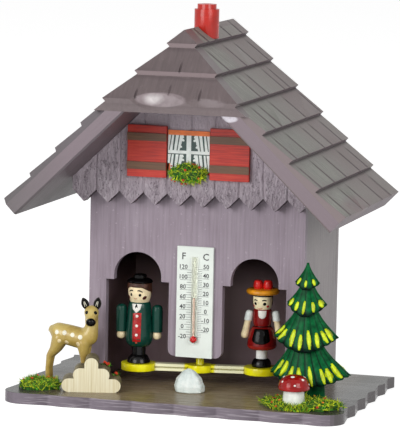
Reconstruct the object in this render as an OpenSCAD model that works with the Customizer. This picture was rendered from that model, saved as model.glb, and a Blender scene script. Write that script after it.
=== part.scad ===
// Weather house: a timber cottage whose two figures swing in and out of the doors on a gut string.
// The origin is at the foot of the string's axis, on the underside of the base; the front faces -Y.

/* [House] */
// Width across the side walls
house_w = 101; // [96:1:116]
// Depth from the face of the front wall to the rear of the back board
house_d = 62; // [54:1:80]
// Thickness of the wall boards
wall_t = 4; // [3:0.5:5]
// Height of the side walls at their outer face, above the underside of the base
wall_h = 105.9; // [102:0.1:116]
// Bore of the hanging hole in the back board
hang_hole_d = 8; // [5:0.5:12]
// Height of the hanging hole above the top of the side walls
hang_hole_up = 12.1; // [0:0.1:20]

/* [Base] */
// Width of the base across its side teeth
base_w = 157; // [150:1:180]
// Thickness of the base
base_t = 5; // [4:0.5:8]
// Reach of the base in front of the front wall
base_front = 42; // [40:1:50]
// Reach of the base behind the back board
base_back = 2; // [0:0.5:6]
// Length of one carved tooth along the edges
tooth_l = 19; // [12:0.5:24]
// Depth of the carved teeth on the side edges
tooth_side_d = 1.7; // [1:0.1:3]
// Depth of the carved teeth on the front edge
tooth_front_d = 1.2; // [0.6:0.1:2]
// Radius of the two front corners
base_corner_r = 10; // [6:1:14]

/* [Doorways] */
// Width of the tongue between the doorways
tongue_w = 25.2; // [22:0.1:27]
// Height of the lower end of the tongue
tongue_z = 19.2; // [18:0.1:22]
// Radius of the tongue's lower corners
tongue_r = 3; // [1:0.5:5]
// Width of each doorway
door_w = 29.8; // [27:0.1:32]
// Height of the square shoulder of a doorway
shoulder_z = 52.6; // [50:0.1:54]
// Width of the round arch over a doorway
arch_w = 22.4; // [20:0.1:25]
// Height of the crown of the arch
arch_top_z = 65.7; // [65.2:0.1:72]

/* [Gable board] */
// Thickness of the gable board
gable_t = 5.5; // [4:0.5:7]
// Reach of the gable board past each side wall
gable_side = 7; // [4:0.5:10]
// Width of one plank of the gable board
plank_w = 11.2; // [8:0.1:14]
// Offset of the middle groove from the middle of the house
plank_shift = -1.5; // [-4:0.1:4]
// Drop of the pointed lower ends of the planks below the top of the side walls
plank_drop = 17.8; // [15:0.1:24]
// Length of the pointed ends
plank_tip_h = 5.6; // [3:0.1:8]
// Depth of the V grooves between planks
plank_groove = 0.7; // [0.3:0.1:1.5]

/* [Roof] */
// Pitch of the roof
roof_pitch = 44; // [40:0.5:46]
// Thickness of the roof, square to its slope
roof_t = 9.4; // [8:0.1:11]
// Reach of the eaves past each side wall
eave_out = 28; // [22:0.5:32]
// Reach of the roof in front of the front wall
roof_front = 42; // [38:0.5:48]
// Length of one course of shingles
course_l = 17; // [13:0.1:20]
// Thickness of the butt end of a course
course_step = 1.9; // [1:0.1:2.6]
// Rise of the ridge over the plane of the butts
ridge_rise = 0.9; // [0:0.1:2]
// Distance of the ridge to the left of the middle
ridge_shift = 2.5; // [0:0.1:3]
// Extra steepness of the shingles on the left slope
left_steep = 1.6; // [0:0.1:2]
// Width of the grooves between shingles
shingle_gap = 0.9; // [0.4:0.1:1.2]
// Depth of the grooves between shingles at the butt
shingle_cut = 1.5; // [0.8:0.1:1.7]
// Mean width of a shingle
shingle_w = 21; // [14:0.5:30]
// Depth of the upper bevel along the front edge, square to the slope
verge_top_d = 3.2; // [2:0.1:4]
// Run of the upper bevel along the front edge
verge_top_run = 3.6; // [1:0.1:5]
// Depth of the lower bevel along the front edge, square to the slope
verge_low_d = 0.8; // [0.5:0.1:4.4]
// Run of the lower bevel along the front edge
verge_low_run = 0.8; // [0.5:0.1:6]

/* [Half hip] */
// Courses of shingles on the hip
hip_courses = 3; // [2:1:3]
// Distance of the ridge's front end behind the front of the roof
hip_run = 24.5; // [21:0.1:28]
// Thickness of the hip, square to its slope
hip_t = 8; // [6:0.5:10]
// Height of the fascia under the lowest butt of the hip
hip_fascia = 5.7; // [3:0.1:8]
// Depth of the short joint cuts on the hip
hip_cut = 0.5; // [0.3:0.1:1.2]
// Length of the joint cuts on the hip, up from the butt
hip_cut_l = 5.5; // [3:0.5:8]
// Width of the scoops carved in the lowest butt
scoop_w = 25; // [16:1:28]
// Depth of the scoops
scoop_d = 1.8; // [0.5:0.1:2.2]

/* [Chimney] */
// Diameter of the chimney
chimney_d = 11.2; // [9:0.1:13]
// Rise of the chimney over the ridge
chimney_rise = 10; // [8:0.1:12]
// Diameter of the collar on the chimney
collar_d = 8.6; // [6:0.1:9]
// Height of the collar
collar_h = 2.2; // [1:0.1:3]
// Bore of the blind flue in the collar
flue_d = 4.6; // [2:0.1:5.4]
// Depth of the blind flue
flue_depth = 2.6; // [1:0.1:3.5]
// Depth of the round pocket under the ridge
pocket_depth = 5.4; // [4:0.1:7]
// Gap round the chimney in its pocket
pocket_gap = 0.3; // [0.2:0.05:0.6]
// Gap under the chimney in its pocket
seat_gap = 0.1; // [0.05:0.05:0.3]
// Diameter of the chimney's stem
stem_d = 4.4; // [3:0.1:6]
// Depth of the stem's socket in the chimney
stem_socket = 8; // [5:0.5:8]
// Reach of the stem below the underside of the ridge
stem_below = 4; // [2:0.5:10]
// Running clearance round the stem
stem_gap = 0.08; // [0.02:0.01:0.1]

/* [Gut string] */
// Distance of the string's axis behind the face of the front wall
axis_inset = 9.4; // [8:0.1:12]
// Diameter of the gut
gut_d = 1.2; // [0.8:0.1:1.6]
// Length of gut held in each end
gut_hold = 6; // [4:0.5:8]
// Clearance of the gut and the stem in their glued holes
glue_gap = 0.03; // [0.01:0.01:0.05]

/* [Swing arm] */
// Height of the underside of the arm
arm_z = 11.2; // [9:0.1:13]
// Thickness of the arm
arm_t = 3.2; // [2.5:0.1:3.6]
// Distance from the axis to the middle of each disc
arm_r = 28.1; // [26:0.1:29]
// Diameter of the discs that carry the figures
disc_d = 15.8; // [14:0.1:17]
// Diameter of the hub
hub_d = 11.3; // [8:0.1:12]
// Width of the bar
bar_w = 4.4; // [3:0.1:6]
// Width of the groove along each side of the bar
bar_groove_w = 0.7; // [0.4:0.1:1]
// Depth of the groove along each side of the bar
bar_groove_d = 0.5; // [0.3:0.1:1]
// Diameter of the post
post_d = 3.6; // [2.6:0.1:4.4]
// Height of the top of the post
post_top = 40; // [30:1:60]
// Angle of the arm at rest, with the man's end forward
swing_rest = 10.4; // [-15:0.1:15]

/* [Man] */
// Diameter of the boots at the sole
boot_d = 10.6; // [8:0.1:12]
// Height of the boots
boot_h = 3.8; // [2:0.1:5]
// Diameter of the trousers
trouser_d = 6.2; // [5:0.1:7]
// Length of the trousers
trouser_h = 3.7; // [2:0.1:5]
// Widest diameter of the jacket
jacket_d = 12.6; // [11:0.1:13.5]
// Height of the jacket
jacket_h = 20.5; // [16:0.1:22]
// Diameter of the shoulders
man_shoulder_d = 10; // [9:0.1:11]
// Diameter of the head
man_head_d = 10.7; // [9.4:0.1:12]
// Height of the head up to the hat
man_head_h = 8.9; // [7:0.1:10]
// Diameter of the hat brim
man_brim_d = 11.8; // [11:0.1:13]
// Diameter of the crown of the hat
man_crown_d = 6; // [5:0.1:8]
// Height of the hat
man_hat_h = 3.9; // [3.5:0.1:6]
// Diameter of the sleeves
man_sleeve_d = 5; // [3.6:0.1:5.2]
// Length of an arm from shoulder to finger tips
man_arm_l = 16; // [12:0.1:18]
// Distance of the arms from the middle of the body
man_arm_x = 8.2; // [7.5:0.1:8.6]
// Drop of the arms below the top of the jacket
man_arm_drop = 1.3; // [0:0.1:2]
// Diameter of the hands
man_hand_d = 4.2; // [3:0.1:4.4]

/* [Woman] */
// Diameter of the shoes at the sole
shoe_d = 9; // [7:0.1:11]
// Height of the shoes
shoe_h = 3.9; // [2:0.1:5]
// Diameter of the stockings
stocking_d = 5.2; // [4:0.1:6]
// Length of the stockings
stocking_h = 4.1; // [3:0.1:6]
// Widest diameter of the skirt
skirt_d = 13.4; // [11:0.1:14]
// Height of the skirt
skirt_h = 10.6; // [8:0.1:12]
// Diameter of the waist
waist_d = 7.6; // [6.5:0.1:8.4]
// Diameter of the bodice
bodice_d = 8.6; // [8:0.1:10]
// Height of the bodice
bodice_h = 8.1; // [6:0.1:9]
// Diameter of the head
woman_head_d = 9; // [8:0.1:10]
// Height of the head up to the hat
woman_head_h = 6.8; // [5.5:0.1:8]
// Diameter of the hat brim
woman_brim_d = 15.2; // [12:0.1:15.6]
// Thickness of the hat brim
woman_brim_t = 2.4; // [1.5:0.1:3]
// Diameter of each pompom
pompom_d = 4.4; // [3:0.1:5]
// Height of each pompom
pompom_h = 3.9; // [3:0.1:5]
// Diameter of the sleeves
woman_sleeve_d = 3.6; // [3:0.1:4]
// Length of an arm from shoulder to finger tips
woman_arm_l = 13.2; // [10:0.1:14]
// Distance of the shoulders from the middle of the body
woman_arm_x = 5.7; // [5.4:0.1:6.4]
// Outward slope of the arms
woman_arm_splay = 11; // [4:1:14]
// Diameter of the hands
woman_hand_d = 3.5; // [2.6:0.1:3.6]

/* [Thermometer] */
// Width of the scale plate
scale_w = 17; // [14:0.5:20]
// Height of the scale plate
scale_h = 50.6; // [44:0.1:60]
// Thickness of the scale plate
scale_t = 1.4; // [1.2:0.1:2]
// Diameter of the glass tube
tube_d = 2.6; // [2:0.1:3.2]
// Bore of the glass tube
tube_bore = 1.2; // [0.6:0.1:1.4]
// Height of the tube over the bulb's middle
tube_l = 37.6; // [30:0.1:40]
// Diameter of the bulb
bulb_d = 3.8; // [2.8:0.1:4]
// Wall of the bulb
bulb_wall = 0.3; // [0.3:0.05:0.7]
// Height of the bulb's middle over the lower edge of the plate
bulb_up = 8.4; // [5:0.1:10]
// Height of the liquid over the bulb's middle
liquid_l = 19; // [5:0.5:28]
// Depth that the tube is let into the plate
tube_bed = 0.5; // [0.2:0.1:0.6]

/* [Window] */
// Offset of the window's middle from the middle of the house
window_x = -2.6; // [-3.4:0.1:0]
// Gap between the two shutters
window_gap = 20.2; // [19:0.1:22]
// Width of each shutter
shutter_w = 18.4; // [16:0.1:20]
// Height of each shutter
shutter_h = 23.3; // [18:0.1:26]
// Thickness of each shutter
shutter_t = 2; // [1.5:0.1:3]
// Gap between a shutter's top corner and the underside of the roof
shutter_top_gap = 0.3; // [0.3:0.1:3]
// Width of the battens
batten_w = 3.5; // [3:0.1:6]
// Thickness of the battens
batten_t = 0.6; // [0.4:0.1:1.2]
// Distance of the battens from the ends of the shutter
batten_in = 3.4; // [1:0.1:4]
// Height of the window card
card_h = 18.4; // [14:0.1:20]
// Thickness of the window card
card_t = 0.8; // [0.5:0.1:1.5]
// Side gap between the card and the shutters
card_gap = 0.4; // [0.3:0.1:1]
// Drop of the card's top below the tops of the shutters
card_drop = 1.6; // [0.5:0.1:4]
// Width of the flower tuft
tuft_w = 17.8; // [14:0.1:18]
// Height of the flower tuft
tuft_h = 8.5; // [6:0.5:12]
// Drop of the tuft's middle under the card's lower edge
tuft_drop = 0.8; // [0:0.1:2]
// Depth of the flower tuft
tuft_t = 4; // [2.5:0.1:6]

/* [Deer and rock] */
// Distance of the deer's middle from the left edge of the base
deer_in = 24.4; // [22:0.1:27]
// Distance of the deer in front of the front wall
deer_front = 9.2; // [8:0.1:11]
// Size of the deer, as its height to the ear tips
deer_h = 39.8; // [36:0.1:41]
// Distance of the rock's middle from the left edge of the base
rock_in = 36.9; // [35:0.1:38]
// Distance of the rock's middle in front of the front wall
rock_front = 21.6; // [21.2:0.1:23]
// Angle of the rock
rock_turn = 16; // [8:1:18]
// Width of the rock
rock_w = 26.5; // [24:0.1:28]
// Radius of the rock's bumps
rock_bump_r = 3.1; // [2.6:0.1:3.4]
// Height of the rock
rock_h = 15.6; // [14:0.1:17]
// Height of the middle of the rock's shoulder bumps
rock_shoulder_z = 7.8; // [6.5:0.1:8.5]
// Thickness of the rock
rock_t = 14; // [9:0.5:14.5]
// Diameter of the flowers on the rock
rock_bloom_d = 2.6; // [2:0.1:3]
// Distance of the left moss patch beside the middle of the deer
left_moss_x = 10.6; // [9:0.1:12]
// Distance of the left moss patch in front of the deer
left_moss_front = 15.9; // [14:0.1:18]
// Length of the left moss patch
left_moss_l = 19; // [14:0.5:22]
// Height of both moss patches
moss_h = 4; // [2.5:0.1:5]

/* [Fir and toadstool] */
// Distance of the fir's tip from the right edge of the base
fir_in = 22.8; // [21.5:0.1:24]
// Distance of the fir in front of the front wall
fir_front = 14; // [13:0.1:14.6]
// Height of the fir
fir_h = 63.5; // [56:0.5:70]
// Reach of the lowest tier to each side
fir_r = 17.6; // [15:0.1:18]
// Reach of the lowest tier to the front and to the back
fir_reach = 8.8; // [7:0.1:9.6]
// Diameter of the trunk
trunk_d = 9.6; // [7:0.1:11]
// Distance of the trunk to the right of the tip
trunk_shift = 4.5; // [0:0.1:5]
// Distance of the toadstool from the right edge of the base
mushroom_in = 23.3; // [22.5:0.1:25]
// Distance of the toadstool in front of the front wall
mushroom_front = 31.8; // [31.6:0.1:32.8]
// Height of the toadstool
mushroom_h = 15.3; // [13:0.1:16.5]
// Diameter of the toadstool's stem
mushroom_stem_d = 9.8; // [7:0.1:10.5]
// Diameter of the cap
cap_d = 14; // [12:0.1:15]
// Height of the cap
cap_h = 6.8; // [5:0.1:8]
// Distance of the right moss patch to the right of the fir's tip
right_moss_x = 1.5; // [0:0.5:3]
// Distance of the right moss patch in front of the fir
right_moss_front = 13; // [12:0.5:14]
// Length of the right moss patch
right_moss_l = 37; // [30:0.5:38]
// Width of the right moss patch, front to back
right_moss_w = 22; // [20:0.1:24]

/* [Pebble] */
// Sideways place of the pebble
pebble_x = 1; // [-4:0.1:6]
// Distance of the pebble's middle in front of the front wall
pebble_front = 10; // [9.5:0.1:16]
// Width of the pebble
pebble_w = 14.4; // [10:0.1:15]
// Height of the pebble
pebble_h = 10.6; // [9:0.1:12]

/* [Hidden] */

$fn = 72;
eps = 0.01;      // overlap of cutters and of joined shapes
reach = 200;     // longer than any piece, for cutters that run right through
half_w = house_w / 2;
front_y = -axis_inset;
gable_y = front_y - gable_t;
back_y = front_y + house_d;
grey = [0.53, 0.48, 0.50];

// Roof planes: z of the underside at a distance x from the middle, and the frame of the right slope
function soffit_z(x) = wall_h + (half_w - abs(x)) * tan(roof_pitch);
apex_z = soffit_z(0);
butt_apex_z = apex_z + roof_t / cos(roof_pitch);
ridge_z = butt_apex_z + ridge_rise;
roof_y = front_y - roof_front;
eave_x = half_w + eave_out;
eave_z = butt_apex_z - eave_x * tan(roof_pitch);
slope_l = eave_x / cos(roof_pitch);
course_n = ceil(slope_l / course_l);
left_pitch = roof_pitch + left_steep;
// Lips of the butts from the top course to the eave, counted outwards from the middle: right and left
roof_lip = [for (i = [1:course_n]) let (s = slope_l - (course_n - i) * course_l)
    [s * cos(roof_pitch), butt_apex_z - s * sin(roof_pitch)]];
left_lip = [for (p = roof_lip) [eave_x - (p[1] - eave_z) / tan(left_pitch), p[1]]];

// Half hip: its butts lie just over those of the slopes, so that the corners stay whole
hip_over = 0.1;
hip_lip_z = roof_lip[hip_courses - 1][1] + hip_over;
hip_h = ridge_z - hip_lip_z;
hip_pitch = atan(hip_h / hip_run);
hip_low_z = hip_lip_z - hip_fascia;
hip_back = hip_t / sin(hip_pitch);
hip_low_y = roof_y - hip_fascia / tan(hip_pitch) + hip_back;
ridge_y = roof_y + hip_run;

// Heights along the swing axis
pocket_z = ridge_z - pocket_depth;
stem_z = apex_z - stem_below;
disc_top = arm_z + arm_t;

// Places that line up across pieces
door_x = tongue_w / 2 + door_w / 2;
window_l = window_x - window_gap / 2;
window_r = window_x + window_gap / 2;
shutter_top = soffit_z(max(abs(window_l - shutter_w), window_r + shutter_w)) - shutter_top_gap;
card_top = shutter_top - card_drop;
scale_y = front_y - scale_t;
tube_y = scale_y - tube_d / 2 + tube_bed;
bulb_z = tongue_z + bulb_up;

// Points of a curve that leaves a and reaches c, drawn towards b
function bend(a, b, c, n = 7) = [for (i = [0:n]) let (t = i / n)
    (1 - t) * (1 - t) * a + 2 * t * (1 - t) * b + t * t * c];
// Points of an arc
function arc(c, r, a0, a1, n = 8) = [for (i = [0:n]) let (a = a0 + (a1 - a0) * i / n)
    c + r * [cos(a), sin(a)]];
// Carved saw teeth along a length: distance along the edge and depth of the cut
long_facet = 2 / 3;
function teeth(l, depth) = let (n = round(l / tooth_l), step = l / n)
    concat([for (i = [0:n - 1]) each [[i * step, 0], [(i + long_facet) * step, depth]]], [[l, 0]]);

// Closed skin over a stack of rings with equal counts of points, from the lowest ring up
module loft(rings) {
    m = len(rings);
    n = len(rings[0]);
    low = [for (k = [0:2]) avg([for (p = rings[0]) p[k]])];
    high = [for (k = [0:2]) avg([for (p = rings[m - 1]) p[k]])];
    points = concat([for (ring = rings) each ring], [low, high]);
    sides = [for (i = [0:m - 2], j = [0:n - 1]) let (k = (j + 1) % n)
        each [[i * n + j, (i + 1) * n + j, (i + 1) * n + k], [i * n + j, (i + 1) * n + k, i * n + k]]];
    floor_faces = [for (j = [0:n - 1]) [m * n, j, (j + 1) % n]];
    top_faces = [for (j = [0:n - 1]) [m * n + 1, (m - 1) * n + (j + 1) % n, (m - 1) * n + j]];
    polyhedron(points, concat(sides, floor_faces, top_faces));
}
function avg(v, i = 0, sum = 0) = i == len(v) ? sum / len(v) : avg(v, i + 1, sum + v[i]);

// Profile in the XZ plane, drawn from y1 back to y0
module upright(y0, y1) {
    translate([0, y1, 0])
        rotate([90, 0, 0])
            linear_extrude(y1 - y0)
                children();
}
// Profile in the YZ plane, drawn from x0 to x1
module across(x0, x1) {
    translate([x0, 0, 0])
        rotate([90, 0, 90])
            linear_extrude(x1 - x0)
                children();
}

// Base

module base_plate() {
    w = base_w / 2;
    y0 = front_y - base_front;
    y1 = back_y + base_back;
    r = base_corner_r;
    front = [for (p = teeth(base_w - 2 * r, tooth_front_d)) [p[0] - w + r, y0 + p[1]]];
    right = [for (p = teeth(y1 - y0 - r, tooth_side_d)) [w - p[1], y0 + r + p[0]]];
    left = [for (i = [len(right) - 1:-1:0]) [-right[i][0], right[i][1]]];
    color(grey)
        linear_extrude(base_t)
            polygon(concat(front, arc([w - r, y0 + r], r, -90, 0), right, left,
                arc([r - w, y0 + r], r, 180, 270)));
}

// Walls

module gable_outline(w, low) {
    polygon([[-w, low], [w, low], [w, soffit_z(w)], [0, apex_z], [-w, soffit_z(w)]]);
}
module doorway() {
    translate([tongue_w / 2, base_t - eps])
        square([door_w, shoulder_z - base_t + eps]);
    translate([door_x - arch_w / 2, shoulder_z - eps])
        square([arch_w, arch_top_z - arch_w / 2 - shoulder_z + eps]);
    translate([door_x, arch_top_z - arch_w / 2])
        circle(d = arch_w);
}
module tongue_end() {
    w = tongue_w - 2 * tongue_r;
    translate([-w / 2, tongue_z])
        square([w, tongue_r + eps]);
    for (x = [-w / 2, w / 2])
        translate([x, tongue_z + tongue_r])
            circle(tongue_r);
}
module front_wall() {
    color(grey)
        upright(front_y, front_y + wall_t) {
            difference() {
                gable_outline(half_w, base_t);
                doorway();
                mirror([1, 0])
                    doorway();
                translate([-tongue_w / 2 - eps, base_t - eps])
                    square([tongue_w + 2 * eps, tongue_z + tongue_r - base_t + eps]);
            }
            tongue_end();
        }
}
module side_wall() {
    x0 = half_w - wall_t;
    color(grey)
        upright(front_y + wall_t, back_y - wall_t)
            polygon([[x0, base_t], [half_w, base_t], [half_w, wall_h], [x0, soffit_z(x0)]]);
}
module left_wall() {
    mirror([1, 0, 0])
        side_wall();
}
module right_wall() {
    side_wall();
}
module back_board() {
    color(grey)
        difference() {
            upright(back_y - wall_t, back_y)
                gable_outline(half_w, base_t);
            translate([0, back_y + eps, wall_h + hang_hole_up])
                rotate([90, 0, 0])
                    cylinder(d = hang_hole_d, h = wall_t + 2 * eps);
        }
}

// Gable board of upright planks with pointed ends

notch_flat = 0.4;
module gable_board() {
    w = half_w + gable_side;
    k = ceil(w / plank_w) + 1;
    groove_w = plank_groove * sqrt(2);
    zig = function (x) let (t = (x - plank_shift) / plank_w)
        wall_h - plank_drop + plank_tip_h * 2 * abs(t - floor(t) - 0.5);
    joints = [for (i = [-k:k]) let (x = plank_shift + i * plank_w) if (abs(x) < w - groove_w) x];
    corners = [for (i = [-k:k]) let (x = plank_shift + i * plank_w)
        each [x - notch_flat / 2, x + notch_flat / 2, x + plank_w / 2]];
    edge = [for (x = concat([-w], [for (x = corners) if (abs(x) < w) x], [w])) [x, zig(x)]];
    color(grey)
        difference() {
            upright(gable_y, front_y)
                polygon(concat(edge, [[w, soffit_z(w)], [0, apex_z], [-w, soffit_z(w)]]));
            for (x = joints)
                translate([x, gable_y, 0])
                    rotate([0, 0, 45])
                        translate([-groove_w / 2, -groove_w / 2, 0])
                            cube([groove_w, groove_w, reach]);
        }
}

// Roof of lapped shingles, carved from two boards

// Stepped top of a slope, from the eave up to the lip of its top course
function stepped(lip, pitch) = concat([for (i = [course_n - 1:-1:1])
    each [lip[i], lip[i - 1] - course_step * [sin(pitch), cos(pitch)]]], [lip[0]]);
right_steps = stepped(roof_lip, roof_pitch);
left_steps = stepped(left_lip, left_pitch);
// Height of the right slope's top course in the middle, where the two boards meet
middle_z = ridge_z + (roof_lip[0][1] - ridge_z) * ridge_shift / (roof_lip[0][0] + ridge_shift);
// Section of one board: its underside, its stepped top and its end at the middle
module roof_section(steps, top) {
    under = roof_lip[course_n - 1] - roof_t * [sin(roof_pitch), cos(roof_pitch)];
    polygon(concat([[0, apex_z], under], steps, top));
}
// Everything under both slopes
module roof_fill() {
    n = len(left_steps) - 1;
    left = [for (i = [n:-1:0]) [-left_steps[i][0], left_steps[i][1]]];
    polygon(concat([[eave_x, 0]], right_steps, [[-ridge_shift, ridge_z]], left, [[-eave_x, 0]]));
}
// Frame of a slope: x up the slope is negative, z is square to it, zero at the eave's butt
module on_slope(pitch) {
    translate([eave_x, 0, eave_z])
        rotate([0, pitch, 0])
            children();
}
// Wedge off an edge along x: everything beyond the line from a to b, on the side of c
module edge_bevel(a, b, c) {
    across(-reach, reach)
        polygon([2 * a - b, 2 * b - a, c]);
}
// Places of the grooves of one course, with the joints broken from course to course
function joints_at(first, last, seed) = let (n = floor((last - first) / shingle_w),
    step = (last - first) / (n + 1), jog = rands(-0.3, 0.3, n + 1, seed))
    [for (i = [0:n]) first + (i + 0.5 + jog[i]) * step];
module shingle_grooves(pitch) {
    l = course_l * sin(roof_pitch) / sin(pitch);
    for (i = [0:course_n - 1], y = joints_at(roof_y + verge_top_run, back_y, i + 3))
        translate([-(course_n - i) * l, y - shingle_gap / 2, -shingle_cut])
            cube([l + eps, shingle_gap, reach]);
}
function hip_y(z) = roof_y + (z - hip_lip_z) * hip_run / hip_h;
module hip_outline() {
    lip = [for (i = [0:hip_courses - 1]) let (z = roof_lip[i][1] + hip_over) [hip_y(z), z]];
    courses = [for (i = [0:hip_courses - 2]) each [lip[i], lip[i] - [0, course_step]]];
    polygon(concat([[ridge_y + hip_back, ridge_z], [ridge_y, ridge_z]], courses,
        [lip[hip_courses - 1], [roof_y, hip_low_z], [hip_low_y, hip_low_z]]));
}
module chimney_pocket() {
    translate([0, 0, pocket_z])
        cylinder(d = chimney_d + 2 * pocket_gap, h = reach);
    cylinder(d = stem_d + 2 * stem_gap, h = reach);
}
module roof_half(pitch) {
    color(grey)
        difference() {
            upright(roof_y, back_y)
                children();
            across(-reach, reach)
                polygon([[ridge_y + hip_back, ridge_z], [ridge_y + hip_back, ridge_z + reach],
                    [roof_y - reach, ridge_z + reach], [roof_y - reach, hip_low_z],
                    [hip_low_y, hip_low_z]]);
            on_slope(roof_pitch) {
                edge_bevel([roof_y, -verge_top_d], [roof_y + verge_top_run, 0],
                    [roof_y - roof_t, roof_t]);
                edge_bevel([roof_y, verge_low_d - roof_t], [roof_y + verge_low_run, -roof_t],
                    [roof_y - roof_t, -2 * roof_t]);
            }
            on_slope(pitch)
                shingle_grooves(pitch);
            chimney_pocket();
        }
}
module roof_left() {
    mirror([1, 0, 0])
        roof_half(left_pitch)
            roof_section(left_steps, [[ridge_shift, ridge_z], [0, middle_z]]);
}
module roof_right() {
    roof_half(roof_pitch)
        roof_section(right_steps, [[0, middle_z]]);
}

// Half hip over the front of the ridge

// Middle of each scoop as a share of its width, and its share of the full depth
scoops = [[-0.3, 1], [0.57, 0.5]];
// Joints of each course, as shares of its reach to the left
hip_joints = [[], [0], [-0.54, -0.08, 0.36]];
module hip_grooves() {
    translate([0, ridge_y, ridge_z])
        rotate([hip_pitch, 0, 0])
            for (i = [0:hip_courses - 1], t = hip_joints[i])
                translate([t * left_lip[i][0] - shingle_gap / 2,
                    -(ridge_z - roof_lip[i][1] - hip_over) / sin(hip_pitch) - eps, -hip_cut])
                    cube([shingle_gap, hip_cut_l + eps, reach]);
}
module front_hip() {
    scoop_r = (scoop_w * scoop_w / 4 + scoop_d * scoop_d) / (2 * scoop_d);
    color(grey)
        difference() {
            intersection() {
                across(-reach, reach)
                    hip_outline();
                upright(roof_y - eps, back_y)
                    roof_fill();
            }
            hip_grooves();
            for (s = scoops)
                translate([s[0] * scoop_w, roof_y, hip_lip_z])
                    rotate([45 + hip_pitch / 2, 0, 0])
                        translate([0, 0, scoop_r - s[1] * scoop_d])
                            rotate([0, 90, 0])
                                sphere(scoop_r, $fn = 128);
        }
}

// Chimney knob, its stem and the gut

module chimney() {
    low = pocket_z + seat_gap;
    top = ridge_z + chimney_rise;
    color([0.77, 0.16, 0.12])
        difference() {
            union() {
                translate([0, 0, low])
                    cylinder(d = chimney_d, h = top - collar_h - low);
                translate([0, 0, low])
                    cylinder(d = collar_d, h = top - low);
            }
            translate([0, 0, top - flue_depth])
                cylinder(d = flue_d, h = reach);
            translate([0, 0, low - eps])
                cylinder(d = stem_d + 2 * glue_gap, h = stem_socket + eps);
        }
}
module chimney_stem() {
    color("burlywood")
        difference() {
            translate([0, 0, stem_z])
                cylinder(d = stem_d, h = pocket_z + seat_gap + stem_socket - stem_z);
            translate([0, 0, stem_z - eps])
                cylinder(d = gut_d + 2 * glue_gap, h = gut_hold + eps);
        }
}
module gut_string() {
    low = post_top - gut_hold;
    color("wheat")
        translate([0, 0, low])
            cylinder(d = gut_d, h = stem_z + gut_hold - low, $fn = 24);
}

// Swing arm

module on_arm(x = 0, z = 0) {
    rotate([0, 0, swing_rest])
        translate([x, 0, z])
            children();
}
module swing_arm() {
    color([0.95, 0.88, 0.2])
        on_arm()
            difference() {
                union() {
                    for (x = [-arm_r, arm_r])
                        translate([x, 0, arm_z])
                            cylinder(d = disc_d, h = arm_t);
                    difference() {
                        translate([-arm_r, -bar_w / 2, arm_z])
                            cube([2 * arm_r, bar_w, arm_t]);
                        for (y = [-bar_w / 2, bar_w / 2])
                            translate([-arm_r, y - bar_groove_d, arm_z + (arm_t - bar_groove_w) / 2])
                                cube([2 * arm_r, 2 * bar_groove_d, bar_groove_w]);
                    }
                    translate([0, 0, arm_z])
                        cylinder(d = hub_d, h = arm_t);
                    translate([0, 0, arm_z])
                        cylinder(d = post_d, h = post_top - arm_z);
                }
                translate([0, 0, post_top - gut_hold])
                    cylinder(d = gut_d + 2 * glue_gap, h = gut_hold + eps);
            }
}

// Turned figures

module turned(points) {
    rotate_extrude()
        polygon(points);
}
// One hanging arm: a sleeve with a round shoulder and a hand below it, the shoulder's top at z = 0
module hanging_arm(l, sleeve_d, hand_d, cuff) {
    r = sleeve_d / 2;
    h = hand_d / 2;
    turned(concat([[0, -l]], bend([0, -l], [h, -l], [h, h - l], 5), [[h * 0.8, -cuff], [r, -cuff]],
        bend([r, -r], [r, 0], [0, 0], 5)));
}
man_x = -arm_r;
jacket_low = boot_h + trouser_h;
jacket_top = jacket_low + jacket_h;
man_top = jacket_top + man_head_h;
module man_solid() {
    boot = boot_d / 2;
    leg = trouser_d / 2;
    jacket = jacket_d / 2;
    shoulder = man_shoulder_d / 2;
    head = man_head_d / 2;
    neck = head * 0.8;
    turned(concat([[0, 0], [boot * 0.96, 0]],
        bend([boot, boot_h * 0.1], [boot * 0.9, boot_h * 0.8], [leg, boot_h]),
        [[leg, jacket_low]],
        bend([leg * 1.1, jacket_low], [jacket, jacket_low + jacket_h * 0.02],
            [jacket, jacket_low + jacket_h * 0.25]),
        bend([shoulder * 1.06, jacket_top - jacket_h * 0.14], [shoulder, jacket_top],
            [neck, jacket_top]),
        bend([neck, jacket_top + man_head_h * 0.03], [head, jacket_top + man_head_h * 0.25],
            [head, jacket_top + man_head_h * 0.65]),
        [[head * 0.97, man_top], [0, man_top]]));
}
module man_body() {
    color([0.07, 0.24, 0.21])
        on_arm(man_x, disc_top)
            man_solid();
}
module man_arm(side) {
    color([0.07, 0.24, 0.21])
        on_arm(man_x, disc_top)
            difference() {
                translate([side * man_arm_x, 0, jacket_top - man_arm_drop])
                    hanging_arm(man_arm_l, man_sleeve_d, man_hand_d, man_arm_l * 0.78);
                man_solid();
            }
}
module man_left_arm() {
    man_arm(-1);
}
module man_right_arm() {
    man_arm(1);
}
module man_hat() {
    brim = man_brim_d / 2;
    crown = man_crown_d / 2;
    color([0.06, 0.06, 0.06])
        on_arm(man_x, disc_top + man_top)
            turned(concat([[0, 0], [brim * 0.96, 0]],
                bend([brim, man_hat_h * 0.1], [brim * 0.9, man_hat_h * 0.45],
                    [crown, man_hat_h * 0.55]),
                bend([crown, man_hat_h * 0.8], [crown, man_hat_h], [0, man_hat_h], 5)));
}

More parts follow.
